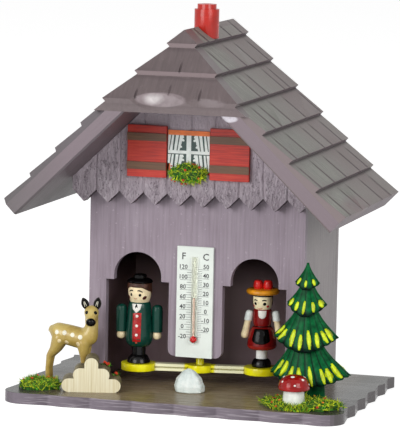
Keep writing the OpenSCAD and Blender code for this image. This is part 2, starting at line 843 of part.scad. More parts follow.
woman_x = arm_r;
skirt_low = shoe_h + stocking_h;
waist_z = skirt_low + skirt_h;
bodice_top = waist_z + bodice_h;
woman_top = bodice_top + woman_head_h;
module woman_solid() {
    shoe = shoe_d / 2;
    leg = stocking_d / 2;
    skirt = skirt_d / 2;
    waist = waist_d / 2;
    bodice = bodice_d / 2;
    head = woman_head_d / 2;
    neck = head * 0.82;
    turned(concat([[0, 0], [shoe * 0.94, 0]],
        bend([shoe, shoe_h * 0.15], [shoe, shoe_h * 0.75], [leg * 1.15, shoe_h]),
        [[leg, shoe_h], [leg, skirt_low]],
        bend([leg * 1.2, skirt_low], [skirt, skirt_low], [skirt, skirt_low + skirt_h * 0.22]),
        bend([skirt * 0.98, skirt_low + skirt_h * 0.35], [skirt * 0.82, waist_z], [waist, waist_z]),
        bend([waist, waist_z + bodice_h * 0.05], [bodice, waist_z + bodice_h * 0.2],
            [bodice, waist_z + bodice_h * 0.6]),
        bend([bodice * 0.98, bodice_top - bodice_h * 0.1], [bodice * 0.9, bodice_top],
            [neck, bodice_top]),
        bend([neck, bodice_top + woman_head_h * 0.04], [head, bodice_top + woman_head_h * 0.3],
            [head, bodice_top + woman_head_h * 0.7]),
        [[head * 0.98, woman_top], [0, woman_top]]));
}
module woman_body() {
    color([0.42, 0.06, 0.06])
        on_arm(woman_x, disc_top)
            woman_solid();
}
module woman_arm(side) {
    color([0.9, 0.88, 0.82])
        on_arm(woman_x, disc_top)
            difference() {
                translate([side * woman_arm_x, 0, bodice_top - 0.1 * bodice_h])
                    rotate([0, -side * woman_arm_splay, 0])
                        hanging_arm(woman_arm_l, woman_sleeve_d, woman_hand_d, woman_arm_l * 0.36);
                woman_solid();
            }
}
module woman_left_arm() {
    woman_arm(-1);
}
module woman_right_arm() {
    woman_arm(1);
}
module woman_hat() {
    brim = woman_brim_d / 2;
    t = woman_brim_t;
    color([0.86, 0.56, 0.12])
        on_arm(woman_x, disc_top + woman_top)
            turned(concat([[0, 0], [brim - t / 2, 0]], arc([brim - t / 2, t / 2], t / 2, -80, 80),
                [[brim - t / 2, t], [0, t]]));
}
module hat_pompoms() {
    r = pompom_d / 2;
    color([0.78, 0.16, 0.16])
        for (x = [-r - eps, r + eps])
            on_arm(woman_x + x, disc_top + woman_top + woman_brim_t)
                turned(concat([[0, 0], [r * 0.85, 0]],
                    bend([r, pompom_h * 0.2], [r * 1.05, pompom_h * 0.95], [r * 0.5, pompom_h]),
                    [[0, pompom_h]]));
}

// Thermometer

module tube_shape(d, bulb, l) {
    translate([0, tube_y, bulb_z]) {
        cylinder(d = d, h = l);
        sphere(d = bulb);
    }
}
module thermometer_plate() {
    color([0.88, 0.9, 0.87])
        difference() {
            translate([-scale_w / 2, scale_y, tongue_z])
                cube([scale_w, scale_t, scale_h]);
            tube_shape(tube_d + 2 * glue_gap, bulb_d + 2 * glue_gap, tube_l + glue_gap);
        }
}
module thermometer_tube() {
    color([0.9, 0.95, 0.95, 0.5])
        difference() {
            tube_shape(tube_d, bulb_d, tube_l);
            tube_shape(tube_bore, bulb_d - 2 * bulb_wall, tube_l - bulb_wall);
        }
}
module thermometer_liquid() {
    color([0.8, 0.1, 0.15])
        tube_shape(tube_bore - 2 * glue_gap, bulb_d - 2 * bulb_wall - 2 * glue_gap, liquid_l);
}

// Window with its shutters and flowers

module shutter(x) {
    color([0.68, 0.24, 0.2])
        translate([x, gable_y - shutter_t, shutter_top - shutter_h])
            cube([shutter_w, shutter_t, shutter_h]);
}
module left_shutter() {
    shutter(window_l - shutter_w);
}
module right_shutter() {
    shutter(window_r);
}
module shutter_battens() {
    y = gable_y - shutter_t - batten_t;
    color([0.4, 0.24, 0.2])
        for (x = [window_l - shutter_w, window_r],
                z = [shutter_top - shutter_h + batten_in, shutter_top - batten_in - batten_w])
            translate([x, y, z])
                cube([shutter_w, batten_t, batten_w]);
}
module window_card() {
    color([0.85, 0.55, 0.4])
        translate([window_l + card_gap, gable_y - card_t, card_top - card_h])
            cube([window_gap - 2 * card_gap, card_t, card_h]);
}
// Low irregular cushion of moss, flat underneath, with lobes all round its edge
module cushion(l, w, h, seed) {
    n = 32;
    jog = rands(-0.1, 0.1, 3 * n, seed);
    shares = [[0.96, 0], [1, 0.35], [0.86, 0.8], [0.5, 1]];
    loft([for (s = shares) [for (j = [0:n - 1]) let (a = 360 * j / n,
        k = s[0] * (1 + 0.06 * sin(5 * a) + jog[j]))
        [l / 2 * k * cos(a), w / 2 * k * sin(a), h * s[1] * (1 + jog[n + j] * (s[1] > 0.5 ? 1 : 0))]]]);
}
module window_flowers() {
    low = card_top - card_h;
    color([0.45, 0.55, 0.2])
        translate([window_x, gable_y - card_t, low - tuft_drop])
            rotate([90, 0, 0])
                cushion(tuft_w, tuft_h, tuft_t, 5);
}

// Deer beside its rock; its points are shares of its height: x, y, z and radius

deer_x = deer_in - base_w / 2;
deer_y = front_y - deer_front;
module limb(points) {
    for (i = [0:len(points) - 2])
        hull()
            for (p = [points[i], points[i + 1]])
                translate([p[0], p[1], p[2]])
                    sphere(p[3], $fn = 18);
}
module deer() {
    color([0.74, 0.62, 0.35])
        translate([deer_x, deer_y, base_t])
            scale(deer_h)
                difference() {
                    union() {
                        limb([[-0.242, 0, 0.615, 0.057], [-0.161, 0, 0.568, 0.117],
                            [-0.039, 0, 0.557, 0.12], [0.13, 0, 0.544, 0.117],
                            [0.193, 0, 0.589, 0.076], [0.214, -0.01, 0.708, 0.062],
                            [0.201, -0.031, 0.825, 0.086], [0.203, -0.12, 0.747, 0.049]]);
                        for (side = [-1, 1]) {
                            limb([[-0.172, side * 0.042, 0.521, 0.089], [-0.229, side * 0.049, 0.38, 0.055],
                                [-0.284, side * 0.049, 0.307, 0.039], [-0.292, side * 0.049, 0.156, 0.033],
                                [-0.289, side * 0.049, 0.016, 0.035]]);
                            limb([[0.13, side * 0.042, 0.484, 0.076], [0.13, side * 0.049, 0.312, 0.039],
                                [0.13, side * 0.049, 0.016, 0.034]]);
                            limb([[0.198 + side * 0.057, -0.021, 0.883, 0.026],
                                [0.188 + side * 0.089, -0.021, 0.938, 0.036],
                                [0.182 + side * 0.094, -0.021, 0.987, 0.013]]);
                        }
                    }
                    translate([-reach / 2, -reach / 2, -reach])
                        cube(reach);
                }
}

// Rock cut from a thick board, with flowers on its shoulder

rock_x = rock_in - base_w / 2;
module on_rock() {
    translate([rock_x, front_y - rock_front, base_t])
        rotate([0, 0, rock_turn])
            children();
}
module rock_outline() {
    r = rock_bump_r;
    low_x = rock_w / 2 - r;
    top_z = rock_h - r;
    for (x = [-low_x, low_x]) {
        translate([x, r])
            circle(r);
        translate([x / 2, rock_shoulder_z])
            circle(r);
    }
    translate([0, top_z])
        circle(r);
    translate([-low_x, 0])
        square([2 * low_x, 2 * r]);
    translate([-low_x / 2, r])
        square([low_x, rock_shoulder_z]);
    translate([-r, r])
        square([2 * r, top_z - r]);
}
module rock_cutout() {
    color([0.87, 0.84, 0.71])
        on_rock()
            upright(-rock_t / 2, rock_t / 2)
                rock_outline();
}
module rock_flowers() {
    r = rock_bump_r;
    low_x = rock_w / 2 - r;
    shoulder_top = rock_shoulder_z + r;
    color([0.7, 0.2, 0.12])
        difference() {
            on_rock()
                for (p = [[low_x / 2, rock_t / 8, shoulder_top], [low_x * 0.86, 0, 2 * r],
                        [low_x * 0.3, rock_t / 4, shoulder_top + r / 10]])
                    translate(p)
                        sphere(d = rock_bloom_d);
            rock_cutout();
        }
}
module left_grass() {
    color([0.4, 0.5, 0.15])
        difference() {
            translate([deer_x - left_moss_x, deer_y - left_moss_front, base_t])
                cushion(left_moss_l, left_moss_l, moss_h, 9);
            deer();
            rock_cutout();
        }
}

// Fir of four drooping tiers, flattened like a moulding

fir_x = base_w / 2 - fir_in;
fir_y = front_y - fir_front;
module fir_tree() {
    n = 40;
    // reach, height, droop and shift to the right of each ring, as shares of the fir's reach and height
    trunk = trunk_d / 2 / fir_r;
    aside = trunk_shift / fir_r;
    rings = [[trunk, 0, 0, aside], [trunk * 0.92, 0.1, 0, aside],
        [0.98, 0.19, 0.08, 0.14], [1.08, 0.211, 0.088, 0.14], [0.5, 0.42, 0.05, 0.02],
        [0.76, 0.447, 0.105, 0], [0.84, 0.472, 0.116, 0], [0.36, 0.64, 0.04, 0],
        [0.46, 0.675, 0.085, 0], [0.53, 0.7, 0.095, 0], [0.22, 0.8, 0.03, 0],
        [0.28, 0.825, 0.04, 0], [0.33, 0.846, 0.046, 0], [0.07, 0.985, 0, 0]];
    color([0.06, 0.43, 0.24])
        translate([fir_x, fir_y, base_t])
            loft([for (i = [0:len(rings) - 1]) [for (j = [0:n - 1]) let (a = 360 * j / n, q = rings[i],
                fold = q[2] > 0 ? 1 + 0.05 * cos(10 * a) : 1)
                [fir_r * (q[0] * fold * cos(a) + q[3]), fir_reach * min(q[0], 1) * fold * sin(a),
                    fir_h * (q[1] - q[2] * sin(a) * sin(a))]]]);
}

// Toadstool

mushroom_x = base_w / 2 - mushroom_in;
mushroom_y = front_y - mushroom_front;
module mushroom_stem() {
    r = mushroom_stem_d / 2;
    h = mushroom_h - cap_h;
    color([0.9, 0.9, 0.86])
        translate([mushroom_x, mushroom_y, base_t])
            turned(concat([[0, 0]], bend([r, 0], [r * 1.02, h * 0.5], [r * 0.9, h]), [[0, h]]));
}
module mushroom_cap() {
    r = cap_d / 2;
    lip = cap_h * 0.14;
    color([0.59, 0.06, 0.04])
        translate([mushroom_x, mushroom_y, base_t + mushroom_h - cap_h])
            turned(concat([[0, 0], [r - lip, 0]], bend([r - lip, 0], [r, 0], [r, lip], 4),
                bend([r, lip], [r * 0.95, cap_h], [0, cap_h], 10)));
}
module right_grass() {
    color([0.4, 0.5, 0.15])
        difference() {
            translate([fir_x + right_moss_x, fir_y - right_moss_front, base_t])
                cushion(right_moss_l, right_moss_w, moss_h, 21);
            fir_tree();
            mushroom_stem();
        }
}

// Quartz pebble

module pebble() {
    w = pebble_w / 2;
    color([0.9, 0.93, 0.91])
        translate([pebble_x, front_y - pebble_front, base_t])
            loft([for (q = [[0.82, 0], [1, 0.28], [0.88, 0.55], [0.5, 0.85], [0.12, 1]])
                [for (j = [0:6]) let (a = 360 * j / 7 + 20)
                    [w * q[0] * cos(a) - w * 0.05 * q[1], w * 0.72 * q[0] * sin(a), pebble_h * q[1]]]]);
}

base_plate();
front_wall();
left_wall();
right_wall();
back_board();
gable_board();
roof_left();
roof_right();
front_hip();
chimney();
chimney_stem();
gut_string();
swing_arm();
man_body();
man_left_arm();
man_right_arm();
man_hat();
woman_body();
woman_left_arm();
woman_right_arm();
woman_hat();
hat_pompoms();
thermometer_plate();
thermometer_tube();
thermometer_liquid();
left_shutter();
right_shutter();
shutter_battens();
window_card();
window_flowers();
deer();
rock_cutout();
rock_flowers();
left_grass();
fir_tree();
mushroom_stem();
mushroom_cap();
right_grass();
pebble();
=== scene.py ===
import math
import random

import bmesh
import bpy
from mathutils import Matrix, Vector, noise
from mathutils.bvhtree import BVHTree


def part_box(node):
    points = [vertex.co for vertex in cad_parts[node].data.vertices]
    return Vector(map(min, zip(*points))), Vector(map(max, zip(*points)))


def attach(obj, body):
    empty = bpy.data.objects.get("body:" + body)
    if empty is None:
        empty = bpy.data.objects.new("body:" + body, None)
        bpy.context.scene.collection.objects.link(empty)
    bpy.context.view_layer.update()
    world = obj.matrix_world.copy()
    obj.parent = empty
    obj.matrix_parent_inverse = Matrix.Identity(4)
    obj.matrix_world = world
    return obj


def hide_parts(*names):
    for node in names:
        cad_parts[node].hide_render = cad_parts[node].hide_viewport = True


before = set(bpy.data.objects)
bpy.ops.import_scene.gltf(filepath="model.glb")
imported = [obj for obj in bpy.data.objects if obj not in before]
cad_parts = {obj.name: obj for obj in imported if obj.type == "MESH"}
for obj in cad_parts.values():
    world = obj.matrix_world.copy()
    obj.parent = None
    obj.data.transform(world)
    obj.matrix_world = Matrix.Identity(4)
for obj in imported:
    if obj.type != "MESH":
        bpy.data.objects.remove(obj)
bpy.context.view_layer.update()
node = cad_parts
MM = 0.001


# Studio: the house stands on a white sweep, seen from its front right corner and a little above.
# Two broad soft lamps in front and a pale surround light it evenly; the sweep keeps its shadow.
scene = bpy.context.scene
scene.view_settings.view_transform = "Standard"
sweep_reach = 6
lamp_aim = Vector((0, 0, 0.08))


def shader_node(tree, kind, inputs=(), **settings):
    """A shader node with its settings, fed by sockets or by plain values."""
    made = tree.nodes.new("ShaderNode" + kind)
    for key, value in settings.items():
        setattr(made, key, value)
    for key, value in dict(inputs).items():
        if isinstance(value, bpy.types.NodeSocket):
            tree.links.new(value, made.inputs[key])
        else:
            made.inputs[key].default_value = value
    return made


def worked(tree, operation, *values):
    """A value worked out of others, by the name of the operation."""
    return shader_node(tree, "Math", dict(enumerate(values)), operation=operation).outputs[0]


def scaled(tree, value, low=0.0, high=1.0, to_low=0.0, to_high=1.0, **settings):
    """A value carried over from one range to another."""
    ends = {"Value": value, "From Min": low, "From Max": high, "To Min": to_low, "To Max": to_high}
    return shader_node(tree, "MapRange", ends, **settings).outputs[0]


def seen_as_white(tree):
    """1 on the rays that show the sweep itself, straight, in gloss or through glass."""
    rays = shader_node(tree, "LightPath").outputs
    gloss = worked(tree, "MAXIMUM", rays["Is Camera Ray"], rays["Is Glossy Ray"])
    return worked(tree, "MAXIMUM", gloss, rays["Is Transmission Ray"])


surround = bpy.data.worlds.new("surround")
surround.use_nodes = True
scene.world = surround
sky = surround.node_tree
sky_light = scaled(sky, seen_as_white(sky), to_low=0.32)
sky.links.new(sky_light, sky.nodes["Background"].inputs["Strength"])
sky.nodes["Background"].inputs["Color"].default_value = (1, 1, 1, 1)

sweep_mesh = bpy.data.meshes.new("sweep")
sweep_corners = [(x * sweep_reach, y * sweep_reach, 0) for x, y in ((-1, -1), (1, -1), (1, 1), (-1, 1))]
sweep_mesh.from_pydata(sweep_corners, [], [(0, 1, 2, 3)])
sweep = bpy.data.objects.new("sweep", sweep_mesh)
sweep.location.z = -0.05 * MM
scene.collection.objects.link(sweep)
white_paper = bpy.data.materials.new("white_paper")
white_paper.use_nodes = True
paper = white_paper.node_tree
paper.nodes.remove(paper.nodes["Principled BSDF"])
paper_matt = shader_node(paper, "BsdfDiffuse", {"Color": (0.8, 0.8, 0.8, 1)})
paper_glow = scaled(paper, seen_as_white(paper), to_high=0.7)
paper_lit = shader_node(paper, "Emission", {"Strength": paper_glow})
paper_both = shader_node(paper, "AddShader", {0: paper_matt.outputs[0], 1: paper_lit.outputs[0]})
paper.links.new(paper_both.outputs[0], paper.nodes["Material Output"].inputs["Surface"])
sweep_mesh.materials.append(white_paper)

for lamp_name, where, width, watts in (
    ("left_softbox", (-0.95, -1.9, 0.75), 1.2, 29),
    ("right_softbox", (1.5, -1.3, 0.9), 1.0, 19),
):
    lamp = bpy.data.lights.new(lamp_name, "AREA")
    lamp.size = width
    lamp.energy = watts
    stand = bpy.data.objects.new(lamp_name, lamp)
    stand.location = where
    stand.rotation_euler = (lamp_aim - Vector(where)).to_track_quat("-Z", "Y").to_euler()
    scene.collection.objects.link(stand)

camera = bpy.data.objects.new("camera", bpy.data.cameras.new("camera"))
camera.data.lens = 285.3
camera.data.sensor_width = 36
camera.data.clip_end = 30
camera_place = (0.4265, -1.4659, 0.2809)
picture_right = (0.959, 0.2826, 0.0198)
picture_up = (-0.0551, 0.1177, 0.9915)
picture_back = (0.2779, -0.952, 0.1284)
camera_turn = Matrix((picture_right, picture_up, picture_back)).transposed().to_4x4()
camera.matrix_world = Matrix.Translation(camera_place) @ camera_turn
scene.collection.objects.link(camera)
scene.camera = camera


# Base board: a thick pine board with a carved saw-tooth edge, stained grey and varnished.
# The walls, roof and ornaments are glued to it, and its eased edges catch the light.
# in mm: the height of the board's top, and how far apart corners may lie that count as one
base_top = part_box("base_plate")[1].z / MM
weld_reach = 0.002
teeth_per_metre, first_tooth = 51.1, 3.5
UPRIGHT = (0, 0, 0)


def tint(red, green, blue):
    """A colour from the paint chart, 0 to 255, as the linear colour that shaders take."""
    parts = [c / 255 for c in (red, green, blue)]
    return tuple(p / 12.92 if p <= 0.04045 else ((p + 0.055) / 1.055) ** 2.4 for p in parts) + (1.0,)


def new_finish(name, sockets=()):
    """A finish, with the plain values of its shader's own sockets."""
    finish = bpy.data.materials.new(name)
    finish.use_nodes = True
    shader = finish.node_tree.nodes["Principled BSDF"]
    for key, value in dict(sockets).items():
        shader.inputs[key].default_value = value
    return finish, finish.node_tree, shader


def colour_steps(tree, value, steps, kind="LINEAR"):
    """Colours by a value, as pairs of where a colour is reached and the colour."""
    ramp = shader_node(tree, "ValToRGB", {0: value})
    ramp.color_ramp.interpolation = kind
    marks = ramp.color_ramp.elements
    marks.remove(marks[1])
    marks[0].position, marks[0].color = steps[0]
    for at, colour in steps[1:]:
        marks.new(at).color = colour
    return ramp.outputs[0]


def tint_steps(tree, value, *steps):
    """Paint colours by a value."""
    return colour_steps(tree, value, [(at, tint(*colour)) for at, colour in steps])


def share_steps(tree, value, steps, kind="LINEAR"):
    """Shares from 0 to 1 by a value."""
    return colour_steps(tree, value, [(at, (share, share, share, 1)) for at, share in steps], kind)


def mixed(tree, share, first, second):
    return shader_node(tree, "Mix", {0: share, 6: first, 7: second}, data_type="RGBA").outputs[2]


def place_on(tree):
    """Where a point lies, in the frame that all pieces share."""
    return shader_node(tree, "TexCoord").outputs["Object"]


def axes_on(tree):
    """The x, y and z of a point."""
    return shader_node(tree, "SeparateXYZ", {0: place_on(tree)}).outputs


def worked_vector(tree, operation, *values):
    made = shader_node(tree, "VectorMath", dict(enumerate(values)), operation=operation)
    return made.outputs["Value" if operation in ("LENGTH", "DOT_PRODUCT") else "Vector"]


def times(tree, one, two):
    return worked(tree, "MULTIPLY", one, two)


def noise_on(tree, place, scale, detail=3.0, rough=0.55, warp=0.0):
    kind = {"Scale": scale, "Detail": detail, "Roughness": rough, "Distortion": warp}
    return shader_node(tree, "TexNoise", {"Vector": place, **kind}).outputs[0]


def weighed(tree, first, share, second):
    """first x share + second x (1 - share)"""
    return worked(tree, "MULTIPLY_ADD", first, share, times(tree, second, 1 - share))


def bumped(tree, shader, height, depth, strength):
    """Relief of this depth in mm."""
    bump = shader_node(tree, "Bump", {"Height": height, "Distance": depth * MM, "Strength": strength})
    tree.links.new(bump.outputs[0], shader.inputs["Normal"])


def along_grain(tree, lie, grain):
    """Places drawn out along the grain: its lie as turns about x, y and z, its lengths there in mm."""
    sizes = {"Vector": place_on(tree), "Rotation": lie, "Scale": [g * MM for g in grain]}
    return shader_node(tree, "Mapping", sizes, vector_type="TEXTURE").outputs[0]


def stained_timber(
    name, deep, mean, pale, lie, grain, rough, relief, fleck=0.0, warp=0.0, fleck_size=620.0, gloss=0.4
):
    """Stained pine: streaks along the grain, cloudy stain, and pale flecks painted as glints where the paint
    catches the light.
    """
    finish, tree, shader = new_finish(name, {"Specular IOR Level": gloss})
    fibre = noise_on(tree, along_grain(tree, lie, grain), 1.0, 6.0, 0.62, warp)
    tone = weighed(tree, fibre, 0.6, noise_on(tree, place_on(tree), 34.0))
    colour = tint_steps(tree, tone, (0.33, deep), (0.5, mean), (0.68, pale))
    # Pale flecks: painted glints where the paint catches the light.
    speck = noise_on(tree, place_on(tree), fleck_size, 2.0)
    pale_marks = scaled(tree, speck, 0.66, 0.76, 0.0, fleck)
    glint_colour = [min(255, c + 60) for c in pale]
    tree.links.new(mixed(tree, pale_marks, colour, tint(*glint_colour)), shader.inputs["Base Color"])
    sheen = scaled(tree, tone, 0.3, 0.7, rough - 0.08, rough + 0.1)
    tree.links.new(sheen, shader.inputs["Roughness"])
    bumped(tree, shader, weighed(tree, fibre, 0.75, speck), relief, 0.7)
    return finish


def in_corners(tree, reach, low, high):
    """The share of painted shade: 1 deep in cuts and corners within this reach in mm, 0 on open faces."""
    reaches = {"Distance": reach * MM}
    open_share = shader_node(tree, "AmbientOcclusion", reaches, samples=6, only_local=True).outputs["AO"]
    return scaled(tree, open_share, low, high, 1.0, 0.0)


def washed(finish, share, colour):
    """Another colour over a finish, by a share from 0 to 1 that is made in the finish's own tree; it lays
    stains and painted light and shade.
    """
    tree = finish.node_tree
    paint = tree.nodes["Principled BSDF"].inputs["Base Color"]
    under = paint.links[0].from_socket
    tree.links.new(mixed(tree, share, under, tint(*colour)), paint)


def turned_to(tree, way, low, high):
    """1 on the faces that look this way, 0 on the others."""
    outward = shader_node(tree, "TexCoord").outputs["Normal"]
    return scaled(tree, worked_vector(tree, "DOT_PRODUCT", outward, way), low, high)


def coat(name, finish):
    """Gives a solid its finish."""
    piece = node[name]
    piece.data.materials.clear()
    piece.data.materials.append(finish)
    return piece


def ease_edges(piece, width):
    """Sands the sharp edges of a piece round, by this width in mm."""
    weld = piece.modifiers.new("joined_corners", "WELD")
    weld.merge_threshold = weld_reach * MM
    ease = piece.modifiers.new("eased_edges", "BEVEL")
    ease.width = width * MM
    ease.segments = 2
    ease.limit_method = "ANGLE"
    ease.angle_limit = math.radians(35)


base_stain = stained_timber(
    "base_stain", (110, 97, 77), (139, 123, 99), (158, 144, 122),
    UPRIGHT, (26, 1.2, 1.2), 0.25, 0.12, 0.1, gloss=0.13,
)
base_tree = base_stain.node_tree
base_along = axes_on(base_tree)[0]
off_middle = worked(base_tree, "ABSOLUTE", base_along)
# The board darker towards both ends: painted shade.
washed(base_stain, scaled(base_tree, off_middle, 38 * MM, 70 * MM), (62, 62, 57))
# The front and left edges lilac grey; the right edge darker, painted shade.
for way, colour in (
    ((0, -1, 0), (124, 115, 124)), ((-1, 0, 0), (124, 115, 124)), ((1, 0, 0), (104, 100, 101)),
):
    washed(base_stain, turned_to(base_tree, way, 0.5, 0.9), colour)
# Each long facet of the front teeth darker towards its end: painted shade.
base_front = turned_to(base_tree, (0, -1, 0), 0.8, 0.95)
teeth = worked(base_tree, "MULTIPLY_ADD", base_along, teeth_per_metre, first_tooth)
tooth = worked(base_tree, "FRACT", teeth)
tooth_shade = share_steps(base_tree, tooth, [(0.0, 0), (0.62, 0.85), (0.68, 0)])
washed(base_stain, times(base_tree, base_front, tooth_shade), (96, 88, 96))
flat_lines = worked_vector(base_tree, "MULTIPLY", place_on(base_tree), (0.05, 0.05, 1))
pale_marks = share_steps(base_tree, noise_on(base_tree, flat_lines, 1500.0), [(0.52, 0), (0.64, 0.7)])
washed(base_stain, times(base_tree, base_front, pale_marks), (164, 156, 163))
ease_edges(coat("base_plate", base_stain), 0.5)


# Walls: four pine boards glued round the edge of the house, stained a warm lilac grey.
# Arched doorways are sawn in the front board, and a tongue is left between them for the thermometer.
front_stain = stained_timber(
    "front_stain", (126, 112, 122), (144, 131, 142), (158, 146, 156), UPRIGHT, (1.3, 1.3, 30), 0.5, 0.1, 0.3
)
side_stain = stained_timber(
    "side_stain", (112, 105, 106), (140, 133, 134), (158, 152, 150), UPRIGHT, (1.1, 1.1, 34), 0.5, 0.16, 0.2
)
side_tree = side_stain.node_tree
knot_kind = {"Vector": place_on(side_tree), "Scale": 58.0}
knots = shader_node(side_tree, "TexVoronoi", knot_kind).outputs["Distance"]
washed(side_stain, share_steps(side_tree, knots, [(0.045, 0.75), (0.075, 0)]), (92, 84, 84))


def stained_inside(name, outside, inward, wash):
    """A wall in its outer stain; the face that looks into the house is dull, in a darker stain that is partly
    painted shade, with painted shadow across its middle and painted shade towards the roof.
    """
    finish = outside.copy()
    finish.name = name + "_stain"
    tree = finish.node_tree
    # The inward face in a darker stain, partly painted shade.
    inside = turned_to(tree, inward, 0.6, 0.9)
    washed(finish, inside, wash)
    x, _, z = axes_on(tree)
    # Painted shadow across the middle of the boards, and painted shade towards the roof.
    across = scaled(tree, x, -50 * MM, 50 * MM)
    middle = share_steps(tree, across, [(0.14, 0), (0.3, 1), (0.5, 1), (0.66, 0.4)])
    lofty = scaled(tree, z, 42 * MM, 57 * MM)
    for share, colour in ((middle, (112, 96, 96)), (lofty, (40, 19, 19))):
        washed(finish, times(tree, inside, share), colour)
    dull = scaled(tree, inside, to_low=0.4, to_high=0.08)
    tree.links.new(dull, tree.nodes["Principled BSDF"].inputs["Specular IOR Level"])
    return finish


# Inside stains set wall by wall, lighter or darker as painted light.
for wall, stain, inward, wash, eased in (
    ("front_wall", front_stain, (0, 1, 0), (150, 126, 130), 0.35),
    ("left_wall", side_stain, (1, 0, 0), (136, 112, 116), 0.3),
    ("right_wall", side_stain, (-1, 0, 0), (124, 100, 104), 0.3),
):
    ease_edges(coat(wall, stained_inside(wall, stain, inward, wash)), eased)
coat("back_board", stained_inside("back_board", side_stain, (0, -1, 0), (212, 184, 192)))


# Gable board: upright planks with pointed ends, carved all over with a gouge to look like bark.
# It is glued on the front board under the roof; its high places carry painted glints and its cuts painted
# shade.
gable_stain = stained_timber(
    "gable_stain", (128, 115, 124), (164, 152, 161), (186, 175, 183),
    UPRIGHT, (1.0, 1.0, 6), 0.36, 2.2, 0.4, 2.2, 700.0,
)
gable_tree = gable_stain.node_tree
gable_height = axes_on(gable_tree)[2]
# Lighter towards the top under the roof: painted light; the undersides darker: painted shade.
washed(gable_stain, scaled(gable_tree, gable_height, 92 * MM, 128 * MM, 0.0, 0.75), (222, 208, 218))
washed(gable_stain, turned_to(gable_tree, (0, 0, -1), 0.3, 0.6), (74, 60, 66))
# On the carved marks near the foot: painted highlights on the ridges and painted shade between them.
upright_marks = worked_vector(gable_tree, "MULTIPLY", place_on(gable_tree), (1, 1, 0.4))
bark = noise_on(gable_tree, upright_marks, 780.0, 3.0, 0.6, 1.2)
carved = scaled(gable_tree, gable_height, 90 * MM, 112 * MM, 1.0, 0.3)
for steps, colour in (
    ([(0.38, 0.4), (0.45, 0)], (112, 100, 108)),
    ([(0.58, 0), (0.68, 0.75)], (208, 200, 207)),
):
    washed(gable_stain, times(gable_tree, share_steps(gable_tree, bark, steps), carved), colour)
# Painted shade in the cuts and corners.
washed(gable_stain, in_corners(gable_tree, 0.9, 0.35, 0.75), (106, 94, 101))
ease_edges(coat("gable_board", gable_stain), 0.25)


# Roof: two thick boards carved in steps as lapped shingles, with a half hip over the front.
# The grain runs down the slope, and a gouge left shallow scoops in the lowest edge of the hip.
roof_pitch = math.radians(44)
left_pitch = math.radians(45.6)
hip_pitch = math.atan2(29.3, 24.5)
eave_z, course_rise = 91.93, 11.81
half_depth = 60
joint_w, chimney_reach = 0.9, 9


def rubbed(finish, middle, reach, colour, most, soft):
    """A place of this reach (mm along each axis) with another colour over it, in patches; it lays stains and
    painted light.
    """
    tree = finish.node_tree
    place = place_on(tree)
    off = worked_vector(tree, "SUBTRACT", place, [c * MM for c in middle])
    off = worked_vector(tree, "DIVIDE", off, [r * MM for r in reach])
    share = scaled(tree, worked_vector(tree, "LENGTH", off), 1 - soft, 1.0, most, 0.0)
    patchy = share_steps(tree, noise_on(tree, place, 240.0, 4.0), [(0.36, 0.55), (0.58, 1)])
    washed(finish, times(tree, share, patchy), colour)


def courses_on(tree):
    """How many courses above the eave a place lies, and how far up its own course, 0 to 1."""
    height = axes_on(tree)[2]
    courses = scaled(tree, height, eave_z * MM, (eave_z + course_rise) * MM, clamp=False)
    return courses, worked(tree, "FRACT", courses)


def shade_courses(finish, bands, colour):
    """Painted shade along the butts, and in the strip that each butt overhangs: shares by how far up its
    course a place lies.
    """
    tree = finish.node_tree
    _, up_course = courses_on(tree)
    wander = worked(tree, "MULTIPLY_ADD", noise_on(tree, place_on(tree), 160.0), 0.14, up_course)
    washed(finish, share_steps(tree, wander, [(at + 0.07, dark) for at, dark in bands]), colour)


def shingle_joints(name):
    """The cuts between the shingles: their middles along y in mm, by course from the eave up."""
    walls = {}
    for corner in node[name].data.vertices:
        x, y, z = corner.co / MM
        if math.hypot(x, y) > chimney_reach:
            walls.setdefault(round(y, 2), []).append((z - eave_z) / course_rise)
    joints = {}
    for y, heights in walls.items():
        if len(heights) > 2 and any(abs(other - y - joint_w) < 0.03 for other in walls):
            joints.setdefault(math.floor(sum(heights) / len(heights)), []).append(y + joint_w / 2)
    return {course: sorted(places) for course, places in joints.items() if course >= 0}


def line_shingles(finish, name):
    """Each shingle a little paler or darker than the next, and dark stain run into the joints."""
    tree = finish.node_tree
    back = scaled(tree, axes_on(tree)[1], -half_depth * MM, half_depth * MM)
    courses, up_course = courses_on(tree)
    run_in = share_steps(tree, up_course, [(0.0, 1), (0.6, 0.85), (0.84, 0)])
    chance = random.Random(len(name))
    for course, places in shingle_joints(name).items():
        on_course = worked(tree, "COMPARE", courses, course + 0.5, 0.5)
        tones = [(0.0, 0.2)]
        stain = [(0.0, 0)]
        for y in places:
            tones.append((y / (2 * half_depth) + 0.5, chance.uniform(0, 0.4)))
            for off, share in ((-1.5, 0), (-0.9, 1), (0.9, 1), (1.5, 0)):
                stain.append(((y + off) / (2 * half_depth) + 0.5, share))
        washed(finish, times(tree, share_steps(tree, back, tones, "CONSTANT"), on_course), (140, 141, 133))
        line = times(tree, share_steps(tree, back, stain), on_course)
        washed(finish, times(tree, line, run_in), (62, 51, 50))


